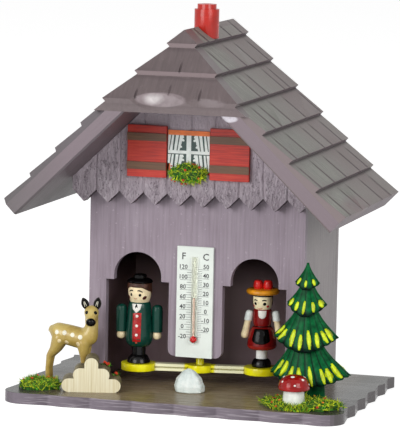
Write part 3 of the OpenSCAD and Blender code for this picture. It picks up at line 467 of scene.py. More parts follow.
for name, lie, bevel in (
    ("roof_left", -left_pitch, (104, 97, 101)), ("roof_right", roof_pitch, (132, 119, 120)),
):
    shingle_stain = stained_timber(
        name + "_stain", (78, 75, 72), (122, 121, 114), (160, 161, 152),
        (0, lie, 0), (24, 1.1, 1.1), 0.5, 0.3, 0.15,
    )
    # Painted shade along the butts and in the strip under each.
    butts = [(0.0, 0.55), (0.12, 0.12), (0.6, 0.05), (0.78, 0.35), (0.86, 0.9), (0.95, 0.9)]
    shade_courses(shingle_stain, butts, (88, 76, 78))
    tree = shingle_stain.node_tree
    x, y, _ = axes_on(tree)
    ragged = worked(tree, "MULTIPLY_ADD", noise_on(tree, place_on(tree), 70.0), 60 * MM, y)
    for start, full, most in ((14, 46, 0.9), (-12, -26, 0.75)):
        washed(shingle_stain, scaled(tree, ragged, start * MM, full * MM, 0.0, most), (116, 102, 102))
    line_shingles(shingle_stain, name)
    # Painted shade in the cuts and corners.
    washed(shingle_stain, in_corners(tree, 1.9, 0.64, 0.975), (56, 46, 47))
    # Faces by the way they look: the bevels pink, lighter on the right slope than on the left as painted
    # light; the fronts lilac; the undersides darker, painted shade.
    for way, low, high, colour in (
        ((0, -1, 0), 0.45, 0.6, bevel),
        ((0, -1, 0), 0.8, 0.95, (122, 109, 115)),
        ((0, 0, -1), 0.45, 0.65, (108, 95, 101)),
    ):
        washed(shingle_stain, turned_to(tree, way, low, high), colour)
    # Out at the left verge, fronts and undersides darker still: painted shade.
    outer = scaled(tree, x, -46 * MM, -74 * MM, 0.0, 0.8)
    for way, colour in (((0, -1, 0), (98, 93, 94)), ((0, 0, -1), (78, 75, 74))):
        washed(shingle_stain, times(tree, turned_to(tree, way, 0.45, 0.65), outer), colour)
    # On the right slope: a painted highlight on the front of the verge, and a mauve stain along the lowest
    # course.
    if name == "roof_right":
        rubbed(shingle_stain, (25.4, -51, 132.6), (5.0, 4, 1.8), (208, 203, 211), 0.95, 0.25)
        rubbed(shingle_stain, (75, -18, 93), (7, 26, 6), (122, 106, 107), 0.9, 0.5)
    ease_edges(coat(name, shingle_stain), 0.22)
hip_stain = stained_timber(
    "hip_stain", (88, 77, 78), (99, 87, 88), (108, 96, 97), (hip_pitch, 0, 0), (1.4, 24, 1.4), 0.4, 0.06, 0.1
)
# Painted shade along the butts of the hip.
shade_courses(hip_stain, [(0.0, 0.2), (0.12, 0.0), (0.68, 0.0), (0.8, 0.5), (0.84, 0.0)], (76, 64, 67))
hip_tree = hip_stain.node_tree
# Front faces of the upper courses lighter: painted light from the front; the lowest course keeps little of
# it.
upper = scaled(hip_tree, axes_on(hip_tree)[2], 140.5 * MM, 142 * MM, 0.12)
washed(hip_stain, times(hip_tree, turned_to(hip_tree, (0, -1, 0), 0.85, 0.97), upper), (120, 104, 106))
# Painted shade in the cuts and corners.
washed(hip_stain, in_corners(hip_tree, 1.0, 0.5, 0.9), (62, 52, 54))
# Painted light on the scoops: the large scoop lighter with a painted highlight in it, the small one lighter
# too.
rubbed(hip_stain, (-5.6, -49.6, 139.4), (12.2, 9, 3.3), (140, 127, 130), 0.85, 0.12)
rubbed(hip_stain, (-9.2, -49.5, 139.5), (5.4, 9, 2.9), (214, 208, 208), 0.8, 0.75)
rubbed(hip_stain, (18, -50.8, 138.9), (7, 9, 2), (132, 119, 122), 0.4, 0.3)
for x, z, half in ((0, 153.3, 3.4), (-17.4, 141.4, 2.6), (-2.6, 143.6, 2.6), (11.6, 141.8, 3.2)):
    rubbed(hip_stain, (x, -45, z), (0.75, 12, half), (64, 52, 54), 1.0, 0.45)
ease_edges(coat("front_hip", hip_stain), 0.25)


# Chimney: a turned knob in gloss red on a bare beech stem, which turns in the ridge to set the figures.
# The gut hangs from a hole in the stem; it is dried gut, twisted and yellowish.
def gloss_paint(name, colour, rough=0.22, uneven=0.12, relief=0.03, scale=260.0, gloss=0.35):
    """Brushed enamel: a little lighter and darker from stroke to stroke, with a soft ripple."""
    finish, tree, shader = new_finish(name, {"Specular IOR Level": gloss})
    stroke = noise_on(tree, place_on(tree), scale)
    dark = [max(0, c * (1 - uneven)) for c in colour]
    light = [min(255, c * (1 + uneven)) for c in colour]
    tree.links.new(tint_steps(tree, stroke, (0.35, dark), (0.65, light)), shader.inputs["Base Color"])
    sheen = scaled(tree, stroke, 0.3, 0.7, rough - 0.05, rough + 0.06)
    tree.links.new(sheen, shader.inputs["Roughness"])
    bumped(tree, shader, stroke, relief, 0.5)
    return finish


chimney_red = gloss_paint("chimney_red", (184, 40, 30), 0.25, 0.06, 0.015, 160.0)
ease_edges(coat("chimney", chimney_red), 0.3)
beech = stained_timber(
    "beech", (176, 140, 92), (205, 172, 122), (224, 196, 150), UPRIGHT, (0.6, 0.6, 9), 0.55, 0.08
)
coat("chimney_stem", beech)
dried_gut = stained_timber(
    "dried_gut", (176, 146, 90), (206, 178, 120), (226, 204, 156), (0.5, 0.3, 0), (0.3, 0.3, 3), 0.35, 0.06
)
coat("gut_string", dried_gut)


# Swing arm: a moulded yellow plastic beam with a round seat for a figure at each end and a post.
# The gut is glued in the top of the post, so the arm turns as the gut twists in damp air.
yellow_plastic = gloss_paint("yellow_plastic", (252, 238, 20), 0.2, 0.05, 0.02, 180.0)
yellow_tree = yellow_plastic.node_tree
# The beam paler than its seats and post: a painted reflection of the lamps on its faces.
from_axis = worked_vector(yellow_tree, "MULTIPLY", place_on(yellow_tree), (1, 1, 0))
along_bar = scaled(yellow_tree, worked_vector(yellow_tree, "LENGTH", from_axis), 6.8 * MM, 21.4 * MM)
bar_reflection = share_steps(yellow_tree, along_bar, [(0.0, 0), (0.06, 1), (0.9, 1), (0.96, 0)])
washed(yellow_plastic, bar_reflection, (255, 254, 212))
# Painted shade in the corners.
washed(yellow_plastic, in_corners(yellow_tree, 0.7, 0.55, 0.9), (128, 118, 30))
ease_edges(coat("swing_arm", yellow_plastic), 0.25)


# Man: turned from beech and dipped in enamel, with the face, waistcoat and collar painted by brush.
# His arms are turned pegs glued to his sides, and a hat and a band of hair sit on his round head.
# The seats lie opposite each other, so the place of one gives the other; heights are in mm.
right_low, right_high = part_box("woman_body")
right_seat = (right_low + right_high) / 2
arm_swing = math.atan2(right_seat.y, right_seat.x)
seat_top = right_low.z / MM
figure_clear = 20
man_face_turn = -16.6
CREAM = (238, 220, 180)
BLACK = (8, 7, 8)
COAT_GREEN = (12, 62, 51)
UP = Vector((0, 0, 1))


def figure_place(side):
    """The middle of a figure's soles, on the seat at the left (-1) or right (1) end of the arm."""
    soles = Matrix.Translation((side * right_seat.x, side * right_seat.y, right_low.z))
    return soles @ Matrix.Rotation(arm_swing, 4, "Z")


def painted_bands(name, high, bands, rough=0.2):
    """Enamel dipped in bands of colour, each from its height in mm above the floor, up to high."""
    finish, tree, shader = new_finish(name, {"Roughness": rough, "Specular IOR Level": 0.25})
    low = bands[0][0]
    share = scaled(tree, axes_on(tree)[2], low * MM, high * MM)
    steps = [((start - low) / (high - low), tint(*colour)) for start, colour in bands]
    stroke = noise_on(tree, place_on(tree), 420.0)
    depth = scaled(tree, stroke, 0.3, 0.7, 0.78, 1.12)
    shade = shader_node(tree, "CombineColor", {0: depth, 1: depth, 2: depth}).outputs[0]
    layers = {0: 1.0, 6: colour_steps(tree, share, steps, "CONSTANT"), 7: shade}
    toned = shader_node(tree, "Mix", layers, data_type="RGBA", blend_type="MULTIPLY").outputs[2]
    tree.links.new(toned, shader.inputs["Base Color"])
    bumped(tree, shader, stroke, 0.04, 0.5)
    return finish


def surface_of(piece):
    mesh = piece.data
    return BVHTree.FromPolygons([v.co for v in mesh.vertices], [tuple(p.vertices) for p in mesh.polygons])


def seat(surface, start, way):
    """Where a line from start meets a surface, and the outward direction there."""
    way = Vector(way).normalized()
    point, outward, _, _ = surface.ray_cast(Vector(start), way)
    if point is None:
        point, outward, _, _ = surface.find_nearest(Vector(start))
    return point, (-outward if outward.dot(way) > 0 else outward)


def spots_on(surface, place):
    """Finds spots on a turned figure: degrees to the viewer's right of its front, mm above its soles."""

    def spot(angle, height):
        a = math.radians(angle)
        out = Vector((math.sin(a), -math.cos(a), 0))
        start = place @ (out * figure_clear * MM + Vector((0, 0, height * MM)))
        return seat(surface, start, place.to_3x3() @ -out)

    return spot


def oval(wide, high, count=16, lean=0.0):
    turns = [2 * math.pi * i / count for i in range(count)]
    c, s = math.cos(lean), math.sin(lean)
    points = [(wide / 2 * math.cos(t), high / 2 * math.sin(t)) for t in turns]
    return [(x * c - z * s, x * s + z * c) for x, z in points]


def filled(corners, step=0.7):
    """An outline with points added along its sides, so that it bends over a round surface."""
    points = []
    for (x0, z0), (x1, z1) in zip(corners, corners[1:] + corners[:1]):
        n = max(1, round(math.hypot(x1 - x0, z1 - z0) / step))
        points += [(x0 + (x1 - x0) * i / n, z0 + (z1 - z0) * i / n) for i in range(n)]
    return points


def paint_faces(faces, paint=0, smooth=True):
    """Gives new faces one of their piece's finishes, by number."""
    for face in faces:
        face.material_index = paint
        face.smooth = smooth


def lay_dab(bm, surface, spot, outline, thick=0.06, rounds=3, paint=0):
    """A closed dab of paint with this outline (mm across and up), laid on a surface at a spot."""
    point, outward = spot
    across = UP.cross(outward).normalized()
    up = outward.cross(across)
    mid_x = sum(x for x, _ in outline) / len(outline)
    mid_z = sum(z for _, z in outline) / len(outline)
    off, too_far = 3, 8

    def laid(x, z, lift):
        start = point + (across * x + up * z + outward * off) * MM
        met, facing = seat(surface, start, -outward)
        if (met - start).length > too_far * MM:
            met, facing = start - outward * off * MM, outward
        return bm.verts.new(met + facing * lift * MM)

    rows = []
    for k in range(1, rounds + 1):
        share = k / rounds
        lift = thick * (1 - share**4) if k < rounds else -thick
        ring = [(mid_x + (x - mid_x) * share, mid_z + (z - mid_z) * share) for x, z in outline]
        rows.append([laid(x, z, lift) for x, z in ring])
    top = laid(mid_x, mid_z, thick)
    under = bm.verts.new(top.co + outward * (-2.5 * thick) * MM)
    n = len(outline)
    faces = [bm.faces.new((top, rows[0][i], rows[0][(i + 1) % n])) for i in range(n)]
    for inner, outer in zip(rows, rows[1:]):
        faces += [
            bm.faces.new((inner[i], outer[i], outer[(i + 1) % n], inner[(i + 1) % n])) for i in range(n)
        ]
    faces += [bm.faces.new((rows[-1][(i + 1) % n], rows[-1][i], under)) for i in range(n)]
    paint_faces(faces, paint)


def lay_stroke(bm, spots, width, thick=0.06, paint=0):
    """A closed brush stroke through spots on a surface, tapered at both ends."""
    last = len(spots) - 1
    sections = []
    for i, (point, outward) in enumerate(spots):
        along = spots[min(i + 1, last)][0] - spots[max(i - 1, 0)][0]
        side = outward.cross(along).normalized()
        half = width / 2 * (0.45 + 0.55 * math.sin(math.pi * (i + 0.35) / (last + 0.7))) * MM
        left = bm.verts.new(point + side * half - outward * thick * MM)
        crown = bm.verts.new(point + outward * thick * MM)
        right = bm.verts.new(point - side * half - outward * thick * MM)
        sections.append((left, crown, right))
    faces = [bm.faces.new(sections[0]), bm.faces.new(sections[-1][::-1])]
    for one, two in zip(sections, sections[1:]):
        for a in range(3):
            b = (a + 1) % 3
            faces.append(bm.faces.new((one[b], one[a], two[a], two[b])))
    paint_faces(faces, paint)


def made_piece(name, bm, *finishes):
    """A new piece from its mesh, with outward faces."""
    bmesh.ops.recalc_face_normals(bm, faces=bm.faces)
    mesh = bpy.data.meshes.new(name)
    bm.to_mesh(mesh)
    bm.free()
    for finish in finishes:
        mesh.materials.append(finish)
    piece = bpy.data.objects.new(name, mesh)
    scene.collection.objects.link(piece)
    return piece


def fixed(piece, body, slot, *stands_for):
    """Fixes a piece to its body and hides the solids it stands for; the slot is not used."""
    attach(piece, body)
    if stands_for:
        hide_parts(*stands_for)
    return piece


def part_way(value, start, width):
    """0 below the start, 1 past the width."""
    return max(0.0, min(1.0, (value - start) / width))


def hair_band(name, spot, turn, top, hairline, finish, slot, thick):
    """Painted hair: a thin shell round a turned head, between the hat and a hairline by angle."""
    bm = bmesh.new()
    count, levels = 72, 8
    rings = []
    for i in range(count):
        bearing = (360 * i / count + 180) % 360 - 180
        low = hairline(abs(bearing))
        outer, inner = [], []
        for k in range(levels + 1):
            point, outward = spot(bearing + turn, low + (top - low) * k / levels)
            lift = thick * min(1.0, 0.15 + k / 2)
            outer.append(bm.verts.new(point + outward * lift * MM))
            inner.append(bm.verts.new(point - outward * 0.4 * MM))
        rings.append(outer + inner[::-1])
    n = len(rings[0])
    for one, two in zip(rings, rings[1:] + rings[:1]):
        paint_faces([bm.faces.new((one[k], two[k], two[(k + 1) % n], one[(k + 1) % n])) for k in range(n)])
    fixed(made_piece(name, bm, finish), "arm", slot)


man_bands = [(seat_top, BLACK), (18.2, (14, 14, 16)), (21.9, COAT_GREEN), (42.4, CREAM)]
man_paint = painted_bands("man_paint", 50, man_bands)
man_sleeves = painted_bands("man_sleeves", 42, [(24, CREAM), (28.62, COAT_GREEN)])
black_gloss = gloss_paint("black_gloss", (6, 5, 5), 0.14, 0.3, 0.02, gloss=0.14)
brown_hair = gloss_paint("brown_hair", (66, 38, 26), 0.35, 0.25, 0.06, 700.0)
white_enamel = gloss_paint("white_enamel", (238, 236, 228), 0.25, 0.05)
waistcoat_red = gloss_paint("waistcoat_red", (168, 22, 22), scale=600.0)
cheek_brown = gloss_paint("cheek_brown", (74, 20, 16), 0.3, 0.2)
lip_red = gloss_paint("lip_red", (186, 70, 48), 0.3, 0.1)
coat("man_body", man_paint)
coat("man_left_arm", man_sleeves)
coat("man_right_arm", man_sleeves)
coat("man_hat", black_gloss)

man_skin = surface_of(node["man_body"])
on_man = spots_on(man_skin, figure_place(-1))


def man_hairline(angle):
    return 35.0 - 1.9 * part_way(angle, 32, 45) - 3.2 * part_way(angle, 85, 40)


hair_band("man_hair", on_man, man_face_turn, 36.8, man_hairline, brown_hair, "man_paint", 0.35)

dress = bmesh.new()
waistcoat = filled([(-2.35, -7.5), (2.35, -7.5), (2.35, 8.9), (-2.35, 8.9)])
lay_dab(dress, man_skin, on_man(-5, 15.9), waistcoat, 0.07, 4)
fixed(made_piece("man_waistcoat", dress, waistcoat_red), "arm", "man_paint")

whites = bmesh.new()
collar = filled([(-2.7, 2.3), (-2.1, -0.7), (0, -2.7), (2.1, -0.7), (2.7, 2.3)], 0.5)
lay_dab(whites, man_skin, on_man(-9, 25.6), collar, 0.13, 4)
for height in (22.0, 17.6, 13.4):
    lay_dab(whites, man_skin, on_man(-5, height), oval(1.7, 1.75), 0.25)
fixed(made_piece("man_collar_and_buttons", whites, white_enamel), "arm", "man_paint")

darks = bmesh.new()
tie = filled([(0, 1.7), (-0.85, 0.2), (-0.6, -1.4), (0.05, -0.2), (0.85, -0.9), (0.65, 0.7)], 0.4)
lay_dab(darks, man_skin, on_man(-10, 26.3), tie, 0.3)
for side in (-1, 1):
    lay_dab(darks, man_skin, on_man(man_face_turn + side * 24, 31.6), oval(1.6, 1.75), 0.09)
    arch = [(11 + 6.5 * i, 33.5 + 0.3 * math.sin(i * 0.9) - 0.1 * i) for i in range(5)]
    lay_stroke(darks, [on_man(man_face_turn + side * out, height) for out, height in arch], 1.3, 0.12)
fixed(made_piece("man_eyes_and_tie", darks, black_gloss), "arm", "man_paint")

cheeks = bmesh.new()
for side in (-1, 1):
    lay_dab(cheeks, man_skin, on_man(man_face_turn + side * 50, 30.3), oval(2.9, 2.1, lean=side * 0.6), 0.08)
mouth = [on_man(man_face_turn - 10 + 5 * i, 30.0 - 0.16 * math.sin(i * 0.78)) for i in range(5)]
lay_stroke(cheeks, mouth, 0.6, paint=1)
lay_dab(cheeks, man_skin, on_man(-6, 9.8), oval(1.3, 1.2), 0.15, paint=1)
fixed(made_piece("man_cheeks_and_mouth", cheeks, cheek_brown, lip_red), "arm", "man_paint")


# Woman: turned like the man, in a dark red dress with a black apron and a white blouse.
# Her flat straw hat carries two red pompoms, which are turned pegs glued side by side.
woman_face_turn = -14
woman_bands = [
    (seat_top, BLACK), (18.3, (252, 254, 252)), (22.4, (164, 38, 32)), (24.4, (130, 18, 18)),
    (41.1, (255, 243, 200)),
]
woman_paint = painted_bands("woman_paint", 48, woman_bands, 0.22)
woman_sleeves = painted_bands("woman_sleeves", 42, [(24, (254, 236, 192)), (35.7, (236, 242, 238))])
straw_enamel = gloss_paint("straw_enamel", (226, 148, 30), 0.25, 0.1)
pompom_red = gloss_paint("pompom_red", (214, 38, 34), 0.3, 0.12, 0.05, 500.0)
rosy = gloss_paint("rosy", (196, 34, 30), 0.3, 0.1)
coat("woman_body", woman_paint)
coat("woman_left_arm", woman_sleeves)
coat("woman_right_arm", woman_sleeves)
coat("woman_hat", straw_enamel)
coat("hat_pompoms", pompom_red)

woman_skin = surface_of(node["woman_body"])
on_woman = spots_on(woman_skin, figure_place(1))


def woman_hairline(angle):
    return 32.6 - 4.6 * part_way(angle, 80, 10) - 0.8 * part_way(angle, 90, 40)


def bowl(half, level, depth):
    """The lower half of an oval, from left to right."""
    turns = [math.radians(t) for t in range(180, 361, 20)]
    return [(half * math.cos(t), level + depth * math.sin(t)) for t in turns]


hair_band("woman_hair", on_woman, -3, 33.4, woman_hairline, black_gloss, "woman_paint", 0.22)
apron = bmesh.new()
hem = filled([(-3.7, 4.6)] + bowl(4.9, -1.2, 2.7) + [(3.7, 4.6)], 0.6)
lay_dab(apron, woman_skin, on_woman(-1, 14.4), hem, 0.12, 5)
lay_stroke(apron, [on_woman(-175 + 10 * i, 18.9) for i in range(36)], 1.1, 0.16)
for side in (-1, 1):
    lay_dab(apron, woman_skin, on_woman(woman_face_turn + side * 30, 29.4), oval(1.85, 1.9), 0.09)
    arch = [(14 + 7 * i, 30.9 + 0.2 * math.sin(i * 0.8)) for i in range(5)]
    lay_stroke(apron, [on_woman(woman_face_turn + side * out, height) for out, height in arch], 1.35, 0.1)
fixed(made_piece("woman_apron_and_eyes", apron, black_gloss), "arm", "woman_paint")

blouse = bmesh.new()
neckline = filled([(-2.3, 2.0)] + bowl(2.1, -0.4, 2.0) + [(2.3, 2.0)], 0.5)
lay_dab(blouse, woman_skin, on_woman(3, 24.6), neckline, 0.12, 4)
fixed(made_piece("woman_blouse", blouse, white_enamel), "arm", "woman_paint")

blush = bmesh.new()
for side in (-1, 1):
    lay_dab(blush, woman_skin, on_woman(woman_face_turn + side * 54, 28.2), oval(1.7, 1.5), 0.08)
smile = [(6.3 * i - 19, 27.45 - 0.36 * math.sin(math.pi * i / 6)) for i in range(7)]
lay_stroke(blush, [on_woman(woman_face_turn + out, height) for out, height in smile], 0.8, 0.08)
fixed(made_piece("woman_blush", blush, rosy), "arm", "woman_paint")


# Thermometer: a white printed plate with a glass tube let into it, glued on the tongue of the front board.
# The scale is printed in black on both sides of the tube, and the spirit in the tube is dyed red.
coat("thermometer_plate", gloss_paint("plate_white", (226, 233, 226), 0.4, 0.02, 0.01, 120.0))
glass_kind = {"Base Color": (0.95, 0.945, 0.9, 1), "Roughness": 0.06, "IOR": 1.2, "Transmission Weight": 1.0}
tube_glass, glass_tree, glass = new_finish("tube_glass", glass_kind)
bumped(glass_tree, glass, noise_on(glass_tree, place_on(glass_tree), 180.0, 2.0), 0.02, 0.3)
coat("thermometer_tube", tube_glass)
spirit_red = painted_bands("spirit_red", 48, [(25, (206, 30, 36)), (29.3, (204, 178, 166))], 0.15)
coat("thermometer_liquid", spirit_red)
plate_low, plate_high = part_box("thermometer_plate")
plate_face, plate_top = plate_low.y / MM, plate_high.z / MM
top_mark, degree_rise = plate_top - 10.7, 0.2267
line_half, line_start = 0.07, 1.55
number_height, letter_height, letter_z = 2.0, 3.1, plate_top - 5.9


def lay_print(bm, outline, face_y, thick=0.04, paint=0):
    """A closed patch of print with this outline (x and z in mm), proud of a face at face_y."""
    back = [bm.verts.new((x * MM, (face_y + thick) * MM, z * MM)) for x, z in outline]
    front = [bm.verts.new((x * MM, (face_y - thick) * MM, z * MM)) for x, z in outline]
    n = len(outline)
    faces = [bm.faces.new(front), bm.faces.new(back[::-1])]
    faces += [bm.faces.new((front[i], back[i], back[(i + 1) % n], front[(i + 1) % n])) for i in range(n)]
    paint_faces(faces, paint, False)


def bar(x0, z0, x1, z1):
    return [(x0, z0), (x1, z0), (x1, z1), (x0, z1)]


def fahrenheit_height(degrees):
    return top_mark - (120 - degrees) * degree_rise


def celsius_height(degrees):
    return fahrenheit_height(degrees * 1.8 + 32)


def lay_number(bm, words, x, z, height):
    """Numbers of the scale, as thin raised print."""
    letters = bpy.data.curves.new("letters", "FONT")
    letters.body = words
    letters.size = height * 1.4 * MM
    letters.align_x = "CENTER"
    letters.extrude = 0.03 * MM
    letters.offset = 0.045 * MM
    letters.resolution_u = 2
    holder = bpy.data.objects.new("letters", letters)
    scene.collection.objects.link(holder)
    bpy.context.view_layer.update()
    shape = bpy.data.meshes.new_from_object(holder.evaluated_get(bpy.context.evaluated_depsgraph_get()))
    upright = Matrix.Rotation(math.pi / 2, 4, "X")
    shape.transform(Matrix.Translation((x * MM, plate_face * MM, z * MM)) @ upright)
    bm.from_mesh(shape)
    bpy.data.objects.remove(holder)
    bpy.data.meshes.remove(shape)
    bpy.data.curves.remove(letters)


marks = bmesh.new()
for degrees in range(-15, 121, 5):
    level = fahrenheit_height(degrees)
    reach = -7.0 if degrees % 20 == 0 else (-4.6 if degrees % 10 == 0 else -3.8)
    lay_print(marks, bar(reach, level - line_half, -line_start, level + line_half), plate_face)
for degrees in range(-26, 51, 2):
    level = celsius_height(degrees)
    reach = 6.6 if degrees % 10 == 0 else 3.3
    lay_print(marks, bar(line_start, level - line_half, reach, level + line_half), plate_face)
for degrees in range(-20, 121, 20):
    lay_number(marks, str(degrees), -5.6, fahrenheit_height(degrees) + 0.45, number_height)
for degrees in range(-20, 51, 10):
    lay_number(marks, str(degrees), 5.2, celsius_height(degrees) + 0.4, number_height)
lay_number(marks, "F", -5.4, letter_z, letter_height)
lay_number(marks, "C", 5.0, letter_z, letter_height)
fixed(made_piece("scale_print", marks, gloss_paint("ink", (42, 42, 46), 0.5, 0.1)), "house", "scale_print")


# Bark: short ridges that the gouge left on the planks of the gable, beside and below the window.
# They stand up a quarter of a millimetre, in the same stain as the planks.
gable_skin = surface_of(node["gable_board"])
gable_low, gable_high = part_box("gable_board")
window_left, window_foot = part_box("left_shutter")[0].x - 1 * MM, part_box("left_shutter")[0].z - 1.5 * MM
window_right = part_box("right_shutter")[1].x + 1 * MM
ridge_tries, carved_height, ridge_rise = 1500, 38, 0.24
draw = random.Random(41)
ridges = bmesh.new()
for _ in range(ridge_tries):
    x, z = draw.uniform(gable_low.x, gable_high.x), gable_low.z + draw.uniform(0, carved_height) * MM
    long, lean, wave = draw.uniform(1.4, 3.4), draw.uniform(-0.35, 0.35), draw.uniform(-0.4, 0.4)
    wide = draw.uniform(0.6, 1.0)
    if window_left < x < window_right and z > window_foot:
        continue
    spots = []
    for i in range(5):
        rise = long * (i / 4 - 0.5)
        shift = lean * rise + wave * math.sin(i * math.pi / 2)
        start = Vector((x + shift * MM, gable_low.y - 5 * MM, z + rise * MM))
        point, outward, _, _ = gable_skin.ray_cast(start, Vector((0, 1, 0)))
        if point is not None and point.y < gable_low.y + 0.2 * MM:
            spots.append((point, outward))
    if len(spots) == 5:
        lay_stroke(ridges, spots, wide, ridge_rise)
fixed(made_piece("gable_bark", ridges, gable_stain), "house", "grey_painted_wood")


# Window: a printed card between two shutters, glued on the gable, with a tuft of dyed flock below it.
# The shutters are thin red-stained wood with two darker bands across each.
def red_stain(name, deep, mean, pale):
    return stained_timber(name, deep, mean, pale, UPRIGHT, (16, 0.7, 0.7), 0.45, 0.12)


shutter_red = red_stain("shutter_red", (118, 22, 18), (188, 47, 34), (212, 80, 58))
band_brown = red_stain("band_brown", (72, 46, 32), (100, 70, 50), (126, 92, 66))
for name, finish, eased in (
    ("left_shutter", shutter_red, 0.25),
    ("right_shutter", shutter_red, 0.25),
    ("shutter_battens", band_brown, 0.12),
):
    ease_edges(coat(name, finish), eased)

card_white = gloss_paint("card_white", (234, 240, 236), 0.5, 0.04)
card_orange = gloss_paint("card_orange", (238, 126, 66), 0.5, 0.06)
coat("window_card", gloss_paint("card_dark", (56, 74, 70), 0.45, 0.2))
card_low, card_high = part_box("window_card")
card_l, card_face, card_b = (c / MM for c in card_low)
card_r, _, card_t = (c / MM for c in card_high)
card_mid = (card_l + card_r) / 2
bar_z, bar_half, post_half, blind = card_b + 8.6, 0.7, 1.1, 2.2
window = bmesh.new()
lay_print(window, bar(card_l, card_t - blind, card_r, card_t), card_face, 0.05, 1)
lay_print(window, bar(card_l, card_b, card_l + 1.2, card_b + 3.4), card_face, 0.05, 1)
lay_print(window, bar(card_mid - post_half, card_b, card_mid + post_half, card_t - blind), card_face, 0.07)
lay_print(window, bar(card_l, bar_z - bar_half, card_r, bar_z + bar_half), card_face, 0.06)
pane = card_mid - post_half - card_l
# folds of the curtain: shares of the pane at the top and at the foot, from the outer edge in
folds = [(0.0, 0.16, 0.0, 0.04), (0.22, 0.32, 0.09, 0.24), (0.42, 0.58, 0.32, 0.46), (0.64, 0.84, 0.52, 0.62)]
for side, edge in ((-1, card_l), (1, card_r)):
    for top, low in ((card_t - blind, bar_z + bar_half), (bar_z - 1.1, card_b)):
        for top_a, top_b, low_a, low_b in folds:
            strip = [(low_a, low), (low_b, low), (top_b, top), (top_a, top)]
            strip = [(edge - side * pane * share, z) for share, z in strip]
            lay_print(window, strip if side < 0 else strip[::-1], card_face, 0.05)
        for i in range(4):
            share = 0.82 - 0.19 * i / 3 + (0.05 if i % 2 else -0.04)
            frill_z = top - 0.7 - i * (top - low - 1.0) / 4
            frill_x = edge - side * pane * share
            ruffle = [(frill_x + x, frill_z + z) for x, z in oval(1.5, 1.1, 10, side * 0.5)]
            lay_print(window, ruffle, card_face, 0.045)
fixed(made_piece("window_print", window, card_white, card_orange), "house", "window_print")


# Flock: shreds of dyed moss and paper flowers, glued on in tufts under the window and on the base.
# Each shred is a thin bent blade; reds and oranges are the flower heads among the greens.
flock_dyes = [
    gloss_paint(name, colour, 0.7, 0.3, 0.05, 900.0)
    for name, colour in (
        ("moss_green", (84, 150, 36)),
        ("moss_dark", (46, 92, 26)),
        ("moss_yellow", (184, 204, 40)),
        ("moss_olive", (128, 150, 40)),
        ("bloom_red", (216, 62, 34)),
        ("bloom_orange", (226, 116, 40)),
    )
]
FORWARD = Vector((0, -1, 0))
core_share = 0.9


def spots_over(mesh, count, draw, away):
    """Random places on a mesh, even by area, on the faces that look away from what it is glued to."""
    faces = [p for p in mesh.polygons if p.normal.dot(away) > -0.2]
    for p in draw.choices(faces, [p.area for p in faces], k=count):
        a, b, c = (mesh.vertices[i].co for i in p.vertices[:3])
        u, v = draw.random(), draw.random()
        if u + v > 1:
            u, v = 1 - u, 1 - v
        yield a + (b - a) * u + (c - a) * v, p.normal.copy()


def drawn(draw, *ranges):
    """A random vector, by a range for each axis."""
    return Vector([draw.uniform(*ends) for ends in ranges])


def lay_shred(bm, root, way, length, width, bend, paint):
    """One shred of flock: a closed three-sided blade that tapers and bends."""
    side = way.orthogonal().normalized()
    other = way.cross(side).normalized()
    rows = []
    for share, thick in ((0.0, 1.0), (0.5, 0.85)):
        middle = root + way * length * share + bend * share * share
        rows.append([
            bm.verts.new(middle + (side * math.cos(t) + other * 0.4 * math.sin(t)) * width / 2 * thick)
            for t in (0, 2.1, 4.2)
        ])
    tip = bm.verts.new(root + way * length + bend)
    faces = [bm.faces.new(rows[0][::-1])]
    for i in range(3):
        j = (i + 1) % 3
        faces.append(bm.faces.new((rows[0][i], rows[0][j], rows[1][j], rows[1][i])))
        faces.append(bm.faces.new((rows[1][i], rows[1][j], tip)))
    paint_faces(faces, paint, False)


def lay_bloom(bm, point, outward, wide, paint):
    """A small paper flower head: five petals round a raised middle."""
    across = outward.orthogonal().normalized()
    up = outward.cross(across)
    middle = bm.verts.new(point + outward * wide * 0.45)
    under = bm.verts.new(point - outward * wide * 0.2)
    rim = []
    for i in range(10):
        t = math.pi * i / 5
        far = wide / 2 * (1.0 if i % 2 == 0 else 0.55)
        petal = (across * math.cos(t) + up * math.sin(t)) * far
        rim.append(bm.verts.new(point + petal + outward * wide * 0.16))
    for one, two in zip(rim, rim[1:] + rim[:1]):
        paint_faces([bm.faces.new((middle, one, two)), bm.faces.new((under, two, one))], paint, False)


